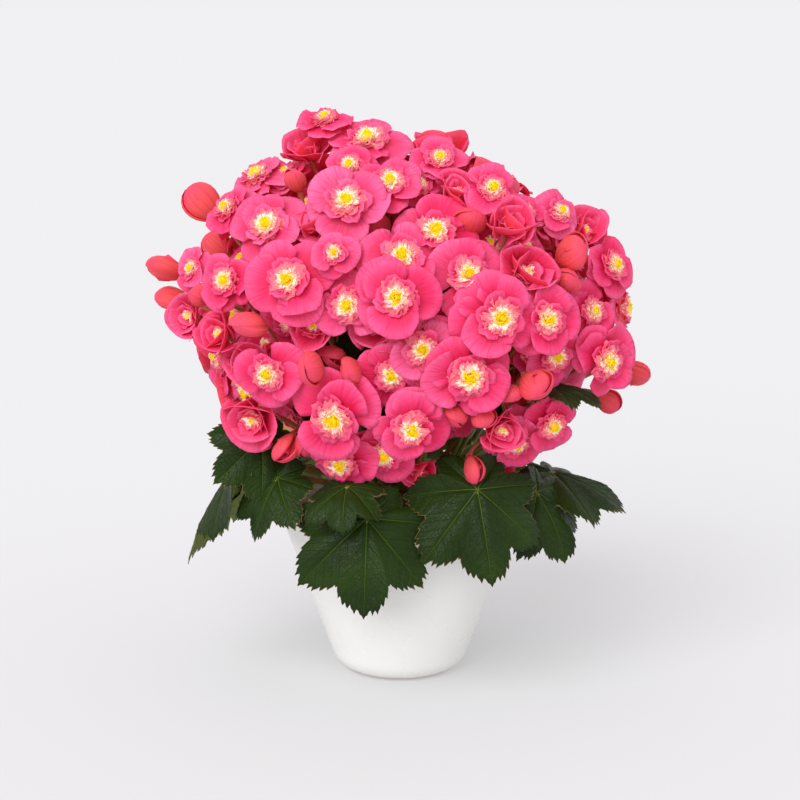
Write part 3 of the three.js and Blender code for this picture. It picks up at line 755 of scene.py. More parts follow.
def fill_place(point):
    """Where the fill puts a point of the dome: inside it, narrower below, lower at the right shoulder."""
    right, _, rise = (point - DOME_CENTRE) / DOME_RADII
    narrowed = lerp(1, FILL_WAIST, max(0.0, rise / FILL_LOW))
    place = (point - DOME_CENTRE) * FILL_REACH * [narrowed, narrowed, 1]
    place[2] -= FILL_SHOULDER * max(0.0, right) * max(0.0, rise)
    return place + DOME_CENTRE


def filling_flowers(placed):
    """The sides, top and back, from a spiral of trial places, as the part fills them."""
    draw = seeded(FILL_SEED)
    flowers = []
    buds = 0
    for i in range(FILL_TRIALS):
        point = fill_place(spiral_point(i, lerp(FILL_HIGH, FILL_LOW, (i + 0.5) / FILL_TRIALS)))
        room = min(np.linalg.norm(other.point - point) for other in placed + flowers)
        bud = room < FILL_APART
        if room < FILL_BUD_APART or (bud and (buds == FILL_MOST_BUDS or i % FILL_BUD_EVERY)):
            continue
        across, along, up, size = (draw() for _ in range(4))
        lean = FILL_TILT * np.array([across - 0.5, along - 0.5, up - FILL_LIFT])
        kind = BUD if bud else OPEN if len(flowers) % FILL_CUP_EVERY else CUP
        width = lerp(FILL_NARROWEST, FILL_WIDEST, size) * FILL_WIDTHS[kind]
        buds += bud
        flowers.append(Flower(point, unit(outward(point) + lean), width, kind, size))
    return flowers


def lies_over(flower, other, point):
    """Whether the flower, set at the point, would cross the other one."""
    apart = other.point - point
    rise = abs(apart @ other.facing)
    aside = math.sqrt(max(0.0, apart @ apart - rise * rise))
    small = BUD in (flower.kind, other.kind)
    return aside < (flower.width + other.width) / 2 * CLOSE and rise < (BUD_LAYER if small else LAYER)


def settled_flowers():
    """Every flower, each as near the dome as it can be without crossing those before it."""
    chosen = chosen_flowers()
    settled = []
    for flower in chosen + filling_flowers(chosen):
        inward = -outward(flower.point)
        places = [flower.point + inward * SINK_STEP * step for step in range(SINK_STEPS + 1)]
        free = (p for p in places if not any(lies_over(flower, other, p) for other in settled))
        settled.append(replace(flower, point=next(free, places[1])))
    return settled


def tucked_flowers(settled):
    """Smaller flowers behind the settled ones, as far apart as they need."""
    draw = seeded(TUCK_SEED)
    tucked = []
    for i in range(TUCK_TRIALS):
        height = lerp(TUCK_HIGH, TUCK_LOW, (i + 0.5) / TUCK_TRIALS)
        point = lerp(DOME_CENTRE, fill_place(spiral_point(i, height)), TUCK_REACH)
        if min(np.linalg.norm(other.point - point) for other in settled + tucked) < TUCK_APART:
            continue
        lean = np.array([draw() - 0.5, draw() - 0.5, draw() - TUCK_LIFT])
        kind = TUCK_KINDS[len(tucked) % len(TUCK_KINDS)]
        width = lerp(TUCK_NARROWEST, TUCK_WIDEST, draw()) * (TUCK_BUD if kind == BUD else 1)
        tucked.append(Flower(point, unit(outward(point) + lean), width, kind, draw()))
    return tucked


def even_points(count, low):
    """Points spread evenly over the dome, down to a height of low."""
    return [spiral_point(i, lerp(EVEN_HIGH, low, (i + 0.5) / count)) for i in range(count)]


def nearest(points, point):
    """Which of the points lies most nearly the same way from the fan's root."""
    alike = [unit(other - FAN) @ unit(point - FAN) for other in points]
    return alike.index(max(alike))


@dataclass
class Spray:
    """The flowers that share a stalk: the part's own, and those tucked in behind them."""
    flowers: list
    tucked: list

    def root(self):
        """Where the spray's stalk leaves its branch of the stems."""
        return lerp(FAN, sum(flower.point for flower in self.flowers) / len(self.flowers), TIP_REACH)


def sprays():
    """The flowers in their sprays; a place of the fan that has no flower has no spray."""
    points = even_points(SPRAYS, SPRAY_FLOOR)
    groups = [Spray([], []) for _ in points]
    settled = settled_flowers()
    for flower in settled:
        groups[nearest(points, flower.point)].flowers.append(flower)
    groups = [group for group in groups if group.flowers]
    leaders = [group.flowers[0].point for group in groups]
    for flower in tucked_flowers(settled):
        groups[nearest(leaders, flower.point)].tucked.append(flower)
    return groups


def on_arc(curve, share):
    """The point of a quadratic curve at a share of the way from its root to its end."""
    root, bend, end = curve
    return root * (1 - share) ** 2 + bend * 2 * share * (1 - share) + end * share**2


def arc(root, bend, end, steps):
    """Points along a quadratic curve."""
    return on_arc((root, bend, end), np.linspace(0, 1, steps + 1)[:, None])


def curve_to(flower, root, approach):
    """A stalk's curve, which comes up behind the flower that it carries."""
    behind = flower.base() - flower.facing * approach
    return root, lerp(behind, root, STALK_BEND), flower.base()


def spray_curves(spray, steps):
    """The leader's points and each fork's, from the root to the flower's back."""
    leading = spray.flowers[0]
    tip = spray.root()
    leader = curve_to(leading, tip + unit(leading.base() - tip) * GAP, LEADER_APPROACH)
    curves = [arc(*leader, steps)]
    for flowers in (spray.flowers[1:], spray.tucked):
        for i, flower in enumerate(flowers):
            share = lerp(FORK_FROM, FORK_TO, (i + 0.5) / len(flowers))
            curves.append(arc(*curve_to(flower, on_arc(leader, share), FORK_APPROACH), steps))
    return curves


# ---------------------------------------------------------------- meshes


def new_mesh(name, points, faces, edges=(), attributes=None):
    """A mesh in metres from points in millimetres, with a value for each point in each attribute."""
    mesh = bpy.data.meshes.new(name)
    mesh.from_pydata((np.asarray(points, float) * MM).tolist(), list(edges), list(faces))
    for key, (kind, values) in (attributes or {}).items():
        layer = mesh.attributes.new(key, kind, "POINT")
        field = {"FLOAT_VECTOR": "vector"}.get(kind, "value")
        layer.data.foreach_set(field, np.asarray(values).ravel())
    mesh.update()
    return mesh


def numbers(**columns):
    """Attributes of one number per point."""
    return {key: ("FLOAT", np.asarray(values, np.float32)) for key, values in columns.items()}


def add_piece(name, mesh, *materials):
    """A smooth-shaded object of the mesh."""
    piece = bpy.data.objects.new(name, mesh)
    bpy.context.scene.collection.objects.link(piece)
    for material in materials:
        mesh.materials.append(material)
    mesh.polygons.foreach_set("use_smooth", [True] * len(mesh.polygons))
    return piece


def hand_over(piece, slot, *nodes):
    """Gives a finished piece to the frame, in the place of its nodes if it has any."""
    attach(piece, "root")
    if nodes:
        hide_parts(*nodes)


def closed_sheet(top, bottom):
    """Points and faces of a thin shell between two grids of points, closed round its edge."""
    rows, columns = top.shape[:2]
    index = np.arange(rows * columns).reshape(rows, columns)
    low, right = index[:-1, :-1], index[:-1, 1:]
    up, far = index[1:, :-1], index[1:, 1:]
    upper = np.stack([low, up, far, right], -1).reshape(-1, 4)
    lower = upper[:, ::-1] + rows * columns
    rim = np.concatenate([index[:-1, 0], index[-1, :-1], index[:0:-1, -1], index[0, :0:-1]])
    ahead = np.roll(rim, -1)
    side = np.stack([rim + rows * columns, ahead + rows * columns, ahead, rim], -1)
    points = np.concatenate([top.reshape(-1, 3), bottom.reshape(-1, 3)])
    return points, np.concatenate([upper, lower, side]).tolist()


def turned_body(profile, sides, ripple=None):
    """A closed body turned about Z from (radius, height) pairs that start and end on the axis."""
    turns = np.linspace(0, 2 * math.pi, sides, endpoint=False)
    rings = [[radius, z] for radius, z in profile[1:-1]]
    points = [[0, 0, profile[0][1]]]
    for radius, z in rings:
        points += [[radius * math.cos(a), radius * math.sin(a), z] for a in turns]
    points.append([0, 0, profile[-1][1]])
    faces = []
    for i in range(sides):
        j = (i + 1) % sides
        faces.append((0, 1 + j, 1 + i))
        for ring in range(len(rings) - 1):
            low = 1 + ring * sides
            faces.append((low + i, low + j, low + sides + j, low + sides + i))
        last = 1 + (len(rings) - 1) * sides
        faces.append((last + i, last + j, len(points) - 1))
    points = np.array(points, float)
    return (ripple(points) if ripple else points), faces


# ---------------------------------------------------------------- petals


@dataclass
class PetalForm:
    """A petal of unit length that leaves the origin along X."""
    spread: float
    corner: float
    hollow: float
    droop: float
    wave: float
    teeth: float = 0.0
    tooth_count: int = 0
    rows: int = 8
    columns: int = 12
    thickness: float = 0.016


SHAPE_SEED = 5
PHASE = 6.3  # about a full turn, in radians: where a drawn wave may start
PETAL_BASE = 0.05
CORNER_POWER = 2.6
RIM_WAVES = (2, 3, 5)
RIM_WAVE = 0.035
FACE_WAVES = (3, 5, 8, 13)
WAVE_POWER = 2.2
# The shares that a drawn petal takes of its form's rim wave, hollow, droop and wave: least and most.
RIM_SHARES = (-0.3, 0.7)
HOLLOW_SHARES = (0.3, 1.7)
DROOP_SHARES = (-0.3, 2.1)
WAVE_SHARES = (0.5, 1.5)

# How many shapes are drawn of each form.
PETAL_FORMS = {
    "broad": (8, PetalForm(58, 0.32, 0.2, 0.14, 0.09)),
    "inner": (4, PetalForm(46, 0.34, 0.3, 0.0, 0.1, 0.06, 4, 5, 8, 0.03)),
    "cupped": (4, PetalForm(64, 0.3, 0.3, -0.25, 0.05)),
    "frill": (6, PetalForm(38, 0.26, 0.3, 0.1, 0.14, 0.1, 3, 3, 6, 0.04)),
    "heart": (4, PetalForm(46, 0.35, 1.1, -0.3, 0.12, 0.12, 2, 2, 4, 0.1)),
}


def petal_grid(form, draw):
    """The middle surface of a petal, with how far along and across each point is."""
    rows, columns = np.linspace(0, 1, form.rows + 1), np.linspace(-1, 1, form.columns + 1)
    along, across = np.meshgrid(rows, columns, indexing="ij")
    angle = np.radians(form.spread) * across
    reach = 1 - form.corner * np.abs(across) ** CORNER_POWER
    for waves in RIM_WAVES:
        reach += RIM_WAVE * lerp(*RIM_SHARES, draw()) * np.sin(waves * across + PHASE * draw())
    if form.tooth_count:
        reach -= form.teeth * np.abs(((across + 1) * form.tooth_count / 2) % 1 - 0.5) * 2
    radius = PETAL_BASE + (reach - PETAL_BASE) * along
    x, y = radius * np.cos(angle), radius * np.sin(angle)
    z = form.hollow * lerp(*HOLLOW_SHARES, draw()) * y**2
    z -= form.droop * lerp(*DROOP_SHARES, draw()) * radius**2
    for waves in FACE_WAVES:
        height = form.wave * lerp(*WAVE_SHARES, draw()) * along**WAVE_POWER
        z += height * np.sin(waves * across + PHASE * draw()) * FACE_WAVES[0] / waves
    return np.stack([x, y, z], -1), along, across


def petal_shape(name, form, draw):
    grid, along, across = petal_grid(form, draw)
    lift = np.array([0, 0, form.thickness / 2])
    points, faces = closed_sheet(grid + lift, grid - lift)
    return shape_object(name, points, faces, along, across)


BUD_WRAP = 98.0
BUD_ACROSS = 0.42
BUD_FLAT = 0.66
BUD_RISE = 1.15  # over 1: the bud is widest a little above its middle
BUD_POINT = 1.05  # over 1: its ends are a little slimmer than an ellipse's
BUD_RIDGES = 11
BUD_RIDGE = 0.01
BUD_WALL = 0.03
BUD_ENDS = (0.03, 0.985)
BUD_ROWS = 10
BUD_COLUMNS = 16
BUD_SHELLS = {"bud_outer": 1.04, "bud_inner": 1.0}


def bud_shape(name, size):
    """One of a bud's two rounded shells, of unit height, standing on the origin."""
    rows, columns = np.linspace(*BUD_ENDS, BUD_ROWS + 1), np.linspace(-1, 1, BUD_COLUMNS + 1)
    along, across = np.meshgrid(rows, columns, indexing="ij")
    angle = np.radians(BUD_WRAP) * across
    swell = np.sin(math.pi * along**BUD_RISE) ** BUD_POINT * size
    swell *= 1 + BUD_RIDGE * np.cos(BUD_RIDGES * angle)

    def layer(inset):
        radius = BUD_ACROSS * swell - inset
        return np.stack([radius * np.sin(angle), radius * BUD_FLAT * np.cos(angle),
                         (1 - np.cos(math.pi * along)) / 2], -1)

    points, faces = closed_sheet(layer(0), layer(BUD_WALL))
    return shape_object(name, points, faces, along, across)


def shape_object(name, points, faces, along, across):
    """A shape to set on points, with its place along and across and its side as attributes."""
    both = [np.tile(values.ravel(), 2) for values in (along, across)]
    under = np.repeat([0.0, 1.0], along.size)
    mesh = new_mesh(name, points / MM, faces, attributes=numbers(
        along=both[0], across=both[1], under=under))
    mesh.polygons.foreach_set("use_smooth", [True] * len(mesh.polygons))
    return bpy.data.objects.new(name, mesh)


def petal_shapes():
    """A collection of all petal shapes, and where each kind's shapes are in it."""
    draw = seeded(SHAPE_SEED)
    shapes = bpy.data.collections.new("petal_shapes")
    bpy.context.scene.collection.children.link(shapes)
    places = {}
    for kind, (count, form) in PETAL_FORMS.items():
        places[kind] = list(range(len(shapes.objects), len(shapes.objects) + count))
        for _ in range(count):
            shapes.objects.link(petal_shape(f"shape_{len(shapes.objects):02d}", form, draw))
    for kind, size in BUD_SHELLS.items():
        places[kind] = [len(shapes.objects)]
        shapes.objects.link(bud_shape(f"shape_{len(shapes.objects):02d}", size))
    return shapes, places


@dataclass
class Whorl:
    """A ring of petals. Lengths are shares of the flower's half width, and the tilt is in degrees."""
    shape: str
    count: int
    start: float
    height: float
    tilt: float
    length: float
    breadth: float
    layer: float
    jitter: float


OPEN_WHORLS = [
    Whorl("broad", 3, 0.02, -0.17, 9, 1.0, 1.08, 0.0, 0.8),
    Whorl("broad", 2, 0.02, -0.12, 17, 0.92, 1.08, 0.0, 0.8),
    Whorl("inner", 7, 0.04, -0.08, 20, 0.55, 0.9, 0.3, 1.1),
    Whorl("frill", 13, 0.1, -0.06, 18, 0.4, 0.9, 0.6, 1.2),
    Whorl("frill", 12, 0.09, -0.03, 30, 0.37, 0.9, 0.66, 1.2),
    Whorl("frill", 10, 0.07, 0.0, 42, 0.31, 0.9, 0.72, 1.2),
    Whorl("frill", 8, 0.05, 0.03, 54, 0.26, 0.9, 0.8, 1.2),
    Whorl("heart", 10, 0.1, 0.05, 44, 0.18, 0.9, 0.9, 1.4),
    Whorl("heart", 8, 0.05, 0.08, 58, 0.18, 0.9, 0.95, 1.4),
    Whorl("heart", 5, 0.015, 0.1, 74, 0.15, 0.8, 1.0, 1.4),
]
CUP_WHORLS = [
    Whorl("cupped", 3, 0.02, 0.0, 40, 1.25, 1.3, 0.0, 0.5),
    Whorl("cupped", 3, 0.02, 0.03, 54, 1.12, 1.15, 0.05, 0.5),
    Whorl("inner", 5, 0.02, 0.12, 60, 0.85, 1.0, 0.3, 1.0),
    Whorl("frill", 9, 0.06, 0.25, 62, 0.5, 0.8, 0.66, 1.3),
    Whorl("frill", 7, 0.03, 0.32, 70, 0.42, 0.8, 0.78, 1.3),
    Whorl("heart", 5, 0.03, 0.4, 74, 0.3, 0.7, 0.9, 1.3),
]
BUD_WHORLS = [
    Whorl("bud_inner", 1, 0.0, 0.0, 5, 2.0, 1.0, 0.0, 0.3),
    Whorl("bud_outer", 1, 0.0, 0.0, 5, 2.0, 1.05, 0.0, 0.3),
    Whorl("inner", 3, 0.02, 0.1, 80, 1.65, 0.7, 0.3, 0.4),
]
WHORLS = {OPEN: OPEN_WHORLS, CUP: CUP_WHORLS, BUD: BUD_WHORLS}
CORAL = {OPEN: 0.0, CUP: 0.15, BUD: 1.0}

# The spans that a whorl's jitter of 1 draws from: degrees round the flower, shared by its petals,
# degrees of tilt and of roll, and a share of the length. Neighbours also lean up and down in turn.
JITTER_ROUND = 200
JITTER_TILT = 12
JITTER_ROLL = 16
JITTER_LENGTH = 0.16
STAGGER = 5


def petal_places(flower, shapes, draw):
    """Each petal of a flower: its shape, point, turn, size and colour numbers."""
    base = flower.base()
    low_cup = flower.low_cup()
    half = flower.width / 2 * (LOW_CUP_SIZE if low_cup else 1)
    closed = LOW_CUP_CLOSED if low_cup else 0
    nod = NOD * draw() if flower.kind == CUP and not low_cup else 0
    nodding = replace(flower, facing=unit(flower.facing + UP * nod))
    axes = nodding.axes()
    middle = base + nodding.facing * np.linalg.norm(flower.point - base) if flower.kind == OPEN else base
    shade = draw()
    start = 360 * draw()
    for ring, whorl in enumerate(WHORLS[flower.kind]):
        for k in range(whorl.count):
            angle = start + (k + 0.5 * (ring % 2)) * 360 / whorl.count
            if whorl.shape in BUD_SHELLS:
                angle = 180 * ring
            angle += whorl.jitter * (draw() - 0.5) * JITTER_ROUND / whorl.count
            stagger = STAGGER if k % 2 else -STAGGER
            tilt = whorl.tilt + closed + whorl.jitter * ((draw() - 0.5) * JITTER_TILT + stagger)
            roll = whorl.jitter * (draw() - 0.5) * JITTER_ROLL
            around = axes @ turned("Z", angle)
            turn = around @ turned("Y", -tilt) @ turned("X", roll)
            radial = around @ np.array([whorl.start, 0, 0])
            point = middle + half * (radial + nodding.facing * whorl.height)
            length = half * whorl.length * (1 + whorl.jitter * (draw() - 0.5) * JITTER_LENGTH)
            options = shapes[whorl.shape]
            yield {
                "point": point,
                "shape": options[int(draw() * len(options))],
                "turn": Matrix(turn.tolist()).to_quaternion()[:],
                "size": [length, length * whorl.breadth, length],
                "layer": whorl.layer,
                "tint": 0.5 * shade + 0.5 * draw(),
                "coral": CORAL[flower.kind],
            }


# ---------------------------------------------------------------- what repeats


class Growth(Sketch):
    """A geometry tree with named inputs, made for a modifier."""

    def __init__(self, name, inputs):
        super().__init__(bpy.data.node_groups.new(name, "GeometryNodeTree"))
        face = self.tree.interface
        face.new_socket("Geometry", in_out="OUTPUT", socket_type="NodeSocketGeometry")
        face.new_socket("Geometry", in_out="INPUT", socket_type="NodeSocketGeometry")
        self.sockets = {}
        for label, kind in inputs.items():
            made = face.new_socket(label, in_out="INPUT", socket_type=f"NodeSocket{kind}")
            self.sockets[label] = made.identifier
        self.entry = self.node("NodeGroupInput")
        self.exit = self.node("NodeGroupOutput")

    def given(self, label):
        return Value(self, self.socket(self.entry.outputs, label))

    def stored(self, name, kind="FLOAT"):
        return self.value("GeometryNodeInputNamedAttribute", {"data_type": kind}, {"Name": name}, "Attribute")

    def vector_math(self, operation, first, second):
        made = self.node("ShaderNodeVectorMath", {"operation": operation}, {0: first, 1: second})
        return Value(self, made.outputs[0])

    def stretched(self, vector, factor):
        """A vector times a number."""
        return self.vector_math("MULTIPLY", vector, self.vector(factor, factor, factor))

    def smooth(self, shape):
        sockets = {"Geometry": shape, "Shade Smooth": True}
        return self.value("GeometryNodeSetShadeSmooth", {}, sockets, "Geometry")

    def scattered(self, mesh, density, selection=None):
        """Random points on a mesh's faces, and the turn of the face under each."""
        sockets = {"Mesh": mesh, "Selection": selection, "Density": density, "Seed": self.given("Seed")}
        made = self.node("GeometryNodeDistributePointsOnFaces", {}, sockets)
        return Value(self, made.outputs["Points"]), Value(self, made.outputs["Rotation"])

    def drawn(self, least, most):
        """A random vector for each instance."""
        sockets = {"Min": least, "Max": most, "Seed": self.given("Seed")}
        return self.value("FunctionNodeRandomValue", {"data_type": "FLOAT_VECTOR"}, sockets, "Value")

    def on_points(self, points, instance, turn, **sockets):
        """The instance, or one that is picked from several, set on each point."""
        sockets = {"Points": points, "Instance": instance, "Rotation": turn} | sockets
        return self.value("GeometryNodeInstanceOnPoints", {}, sockets, "Instances")

    def finish(self, *parts):
        """Joins the parts, each a shape and its material, and ends the tree."""
        ends = []
        for shape, material in parts:
            real = self.value("GeometryNodeRealizeInstances", {}, {"Geometry": shape}, "Geometry")
            sockets = {"Geometry": real, "Material": material}
            ends.append(self.value("GeometryNodeSetMaterial", {}, sockets, "Geometry"))
        joined = self.value("GeometryNodeJoinGeometry", {}, {"Geometry": ends}, "Geometry")
        self.feed(self.exit.inputs["Geometry"], joined)

    def grow(self, name, mesh, **settings):
        """A plain object: the mesh with this tree run on it. Settings give _ for a space."""
        seed = bpy.data.objects.new(f"{name}_seed", mesh)
        bpy.context.scene.collection.objects.link(seed)
        modifier = seed.modifiers.new("growth", "NODES")
        modifier.node_group = self.tree
        for label, identifier in self.sockets.items():
            modifier[identifier] = settings[label.replace(" ", "_").lower()]
        bpy.context.view_layer.update()
        evaluated = seed.evaluated_get(bpy.context.evaluated_depsgraph_get())
        grown = bpy.data.meshes.new_from_object(evaluated)
        seed.modifiers.remove(modifier)
        bpy.data.objects.remove(seed)
        grown.name = name
        if len(grown.polygons) == 0:
            raise RuntimeError(f"{name} grew nothing")
        piece = bpy.data.objects.new(name, grown)
        bpy.context.scene.collection.objects.link(piece)
        return piece


# A hair, in millimetres.
HAIR_TIP = 0.01
HAIR_ROOT = 0.09
HAIR_LENGTH = 1.4


def stalks_of(growth):
    """Round stalks along the mesh's edges, as thick as their points say, with hairs on them."""
    lines = growth.value("GeometryNodeMeshToCurve", {}, {"Mesh": growth.given("Geometry")}, "Curve")
    radius = growth.stored("radius") * growth.given("Stalk Thickness")
    sockets = {"Curve": lines, "Radius": radius}
    lines = growth.value("GeometryNodeSetCurveRadius", {}, sockets, "Curve")
    ring = growth.value("GeometryNodeCurvePrimitiveCircle", {"mode": "RADIUS"},
                        {"Resolution": growth.given("Stalk Sides"), "Radius": 1.0}, "Curve")
    sockets = {"Curve": lines, "Profile Curve": ring, "Fill Caps": True}
    tubes = growth.node("GeometryNodeCurveToMesh", {}, sockets)
    if "Scale" in tubes.inputs:
        growth.feed(tubes.inputs["Scale"], radius)
    tubes = Value(growth, tubes.outputs["Mesh"])
    sockets = {"Vertices": 3, "Radius Top": HAIR_TIP * MM, "Radius Bottom": HAIR_ROOT * MM,
               "Depth": HAIR_LENGTH * MM}
    hair = growth.value("GeometryNodeMeshCone", {}, sockets, "Mesh")
    roots, turn = growth.scattered(tubes, growth.given("Hairs"))
    hairs = growth.on_points(roots, hair, turn)
    return growth.value("GeometryNodeJoinGeometry", {}, {"Geometry": [tubes, hairs]}, "Geometry")


STALK_INPUTS = {
    "Stalk Thickness": "Float", "Stalk Sides": "Int", "Hairs": "Float", "Seed": "Int",
    "Stalk Material": "Material",
}


def stalk_growth():
    """Stalks alone, for the stems and the leaves."""
    growth = Growth("stalks", STALK_INPUTS)
    growth.finish((growth.smooth(stalks_of(growth)), growth.given("Stalk Material")))
    return growth


def spray_growth():
    """Petals set on the mesh's marked points, rippled alike on both faces, and stalks on its edges."""
    growth = Growth("spray", {
        "Petal Shapes": "Collection", "Spread": "Float", "Ruffle": "Float", "Ripples": "Float",
        "Petal Material": "Material", **STALK_INPUTS})
    shapes = growth.value("GeometryNodeCollectionInfo", {}, {
        "Collection": growth.given("Petal Shapes"), "Separate Children": True,
        "Reset Children": True}, "Instances")
    size = growth.stretched(growth.stored("size", "FLOAT_VECTOR"), growth.given("Spread"))
    petals = growth.on_points(growth.given("Geometry"), shapes, growth.stored("turn", "QUATERNION"), **{
        "Selection": growth.stored("petal", "BOOLEAN"), "Pick Instance": True,
        "Instance Index": growth.stored("shape", "INT"), "Scale": size})
    petals = growth.value("GeometryNodeRealizeInstances", {}, {"Geometry": petals}, "Geometry")
    noise = growth.value("ShaderNodeTexNoise", {"noise_dimensions": "4D"}, {
        "Scale": growth.given("Ripples"), "Detail": 2.0, "W": growth.given("Seed")}, "Color")
    swing = growth.vector_math("SUBTRACT", noise, (0.5, 0.5, 0.5))
    depth = growth.given("Ruffle") * growth.stored("along").math("POWER", RIPPLES_FROM)
    sockets = {"Geometry": petals, "Offset": growth.stretched(swing, depth)}
    petals = growth.value("GeometryNodeSetPosition", {}, sockets, "Geometry")
    growth.finish(
        (growth.smooth(petals), growth.given("Petal Material")),
        (growth.smooth(stalks_of(growth)), growth.given("Stalk Material")))
    return growth


# ---------------------------------------------------------------- stems, stalks and sprays


@dataclass
class StalkForm:
    """A stalk's radius and its blush, each at its root and at its end, and its swelling there."""
    radii: tuple
    blush: tuple
    swell: float = 0.0


MAIN_STEM = StalkForm((3.6, 2.9), (0.3, 0.1))
BRANCH = StalkForm((1.5, 2.3), (0.1, 0.25))
LEADER = StalkForm((2.0, 1.2), (0.25, 0.9), 1.1)
FORK = StalkForm((0.9, 1.1), (0.25, 0.9), 1.1)
LEAF_STALK = StalkForm((1.9, 1.33), (0.75, 0.35))
SWELL_LENGTH = 0.16
STALK_STEPS = 18
STALK_SIDES = 10
MAIN_BOW = 1.5
BRANCH_BOW = 1.2
CROWN_BLUSH = 0.25
# The crown's shoulder: how far over its top each ring is, and the ring's radius.
CROWN_SHOULDER = [(-4, CROWN_RADIUS), (-1, 6.6), (0.8, 3.0)]
SPRAY_SEED, SPRAY_SEED_STEP = 101, 37
PETAL_RIPPLES = 95.0
RIPPLES_FROM = 1.5


def growth_mesh(name, lines, places=()):
    """A mesh of the stalks' middle lines, followed by one loose point for each petal."""
    counts = [len(points) for points, _, _ in lines]
    edges = []
    start = 0
    for count in counts:
        edges += [(start + i, start + i + 1) for i in range(count - 1)]
        start += count
    points = np.concatenate([points for points, _, _ in lines] + [[place["point"]] for place in places])
    lone = len(places)

    def column(key, width=1):
        filler = np.zeros((start, width), np.float32)
        rows = np.array([place[key] for place in places], np.float32).reshape(lone, width)
        return np.concatenate([filler, rows])

    thickness = np.concatenate([radii for _, radii, _ in lines] + [np.zeros(lone)]) * MM
    blush = np.concatenate([reds for _, _, reds in lines] + [np.zeros(lone)])
    attributes = numbers(radius=thickness, blush=blush)
    if places:
        turns = column("turn", 4)
        turns[:start, 0] = 1
        attributes |= numbers(**{key: column(key) for key in ("layer", "tint", "coral")})
        attributes |= {
            "petal": ("BOOLEAN", np.arange(start + lone) >= start),
            "shape": ("INT", column("shape").astype(np.int32)),
            "turn": ("QUATERNION", turns),
            "size": ("FLOAT_VECTOR", column("size", 3) * MM),
        }
    return new_mesh(name, points, [], edges, attributes)


def stalk_line(points, form):
    """A stalk's points, with its radius and its blush at each."""
    share = np.linspace(0, 1, len(points))
    swollen = form.swell * np.clip((share - (1 - SWELL_LENGTH)) / SWELL_LENGTH, 0, 1) ** 2
    return points, lerp(*form.radii, share) + swollen, lerp(*form.blush, share)


def stem_lines():
    """The crown, the main stems and the branches that reach for the sprays."""
    rings = [(SOIL_CROWN - HOLE_DEPTH + GAP, CROWN_RADIUS), (SOIL_CROWN, CROWN_RADIUS)]
    rings += [(CROWN_TOP + rise, radius) for rise, radius in CROWN_SHOULDER]
    heights, radii = np.array(rings).T
    crown = np.column_stack([0 * heights, 0 * heights, heights])
    lines = [(crown, radii, np.full(len(rings), CROWN_BLUSH))]
    mains = [lerp(FAN, point, MAIN_REACH) for point in even_points(MAIN_STEMS, MAIN_FLOOR)]
    for main in mains:
        lines.append(stalk_line(bowed(FAN, main, MAIN_BOW), MAIN_STEM))
    used = [0] * len(mains)
    for spray in sprays():
        tip = spray.root()
        index = nearest(mains, tip)
        root = lerp(mains[index], FAN, BRANCH_FROM + BRANCH_STEP * used[index])
        used[index] += 1
        lines.append(stalk_line(bowed(root, tip, BRANCH_BOW), BRANCH))
    return lines


def bowed(start, end, bow):
    """A line between two points that bows a little upward."""
    middle = (start + end) / 2 + UP * bow * 2
    return arc(start, middle, end, STALK_STEPS)


def spray_mesh(spray, shapes, index):
    """The lines and points that a spray grows from."""
    draw = seeded(SPRAY_SEED + SPRAY_SEED_STEP * index)
    curves = spray_curves(spray, STALK_STEPS)
    lines = [stalk_line(curve, FORK if i else LEADER) for i, curve in enumerate(curves)]
    flowers = spray.flowers + spray.tucked
    places = [place for flower in flowers for place in petal_places(flower, shapes, draw)]
    return growth_mesh(f"spray_mesh_{index:02d}", lines, places)


# ---------------------------------------------------------------- leaves

# The outline's lobes: angle from the tip in degrees, and reach.
LOBES = [(-144, 0.52), (-98, 0.74), (-46, 0.92), (0, 1.0), (42, 0.86), (90, 0.66), (138, 0.46)]
NOTCH = 0.82
SINUS = 0.16
LOBE_POWER = 1.8  # how suddenly the edge falls from a lobe to the notch beside it
HALF_LOBE_STEPS = 20
BLADE_ROWS = 12
# The saw teeth on each half lobe, the finer ones on them, and how high both are.
TEETH = 5
TOOTH = 0.08
FINE_TEETH = 2.5
FINE_TOOTH = 0.03
TOOTH_SINK = 0.035
TOOTH_FADE = 0.5  # how much lower the teeth are at a notch
# The blade's relief: waves at its edge, folds between the side veins, sunken main veins and puffed fields.
BLADE_SEED, BLADE_SEED_STEP = 500, 13
ROW_POWER = 0.85  # under 1: the rows stand closer together towards the edge
EDGE_WAVES = ((5, 0.045), (9, 0.028))
FOLD = 0.5
FOLD_LENGTH = 6.5
FOLD_LEAN = 0.95
VEIN_DEPTH = 0.9
VEIN_WIDTH = 1.5
PUFF = 1.6
# How far from a main vein the folds and the puffed fields come in, and what the relief loses at the rim.
FOLD_START, PUFF_START = 3, 5
FOLD_FADE, VEIN_FADE, PUFF_FADE = 0.4, 0.7, 0.5
# How the blade falls away to its sides, and how much thinner it is at its rim.
SIDE_SAG = 0.32
SIDE_FOLD = 0.1
RIM_THINNED = 0.35

# Where a leaf's stalk starts on the crown, and how it reaches the blade.
TIER_LOW = 2.6
TIERS = 3
TIER_STEP = 4.2
HUB_UNDER = 1.15
HUB_AHEAD = 3
LEAF_BEND = 0.62
LEAF_BEND_RISE = 2


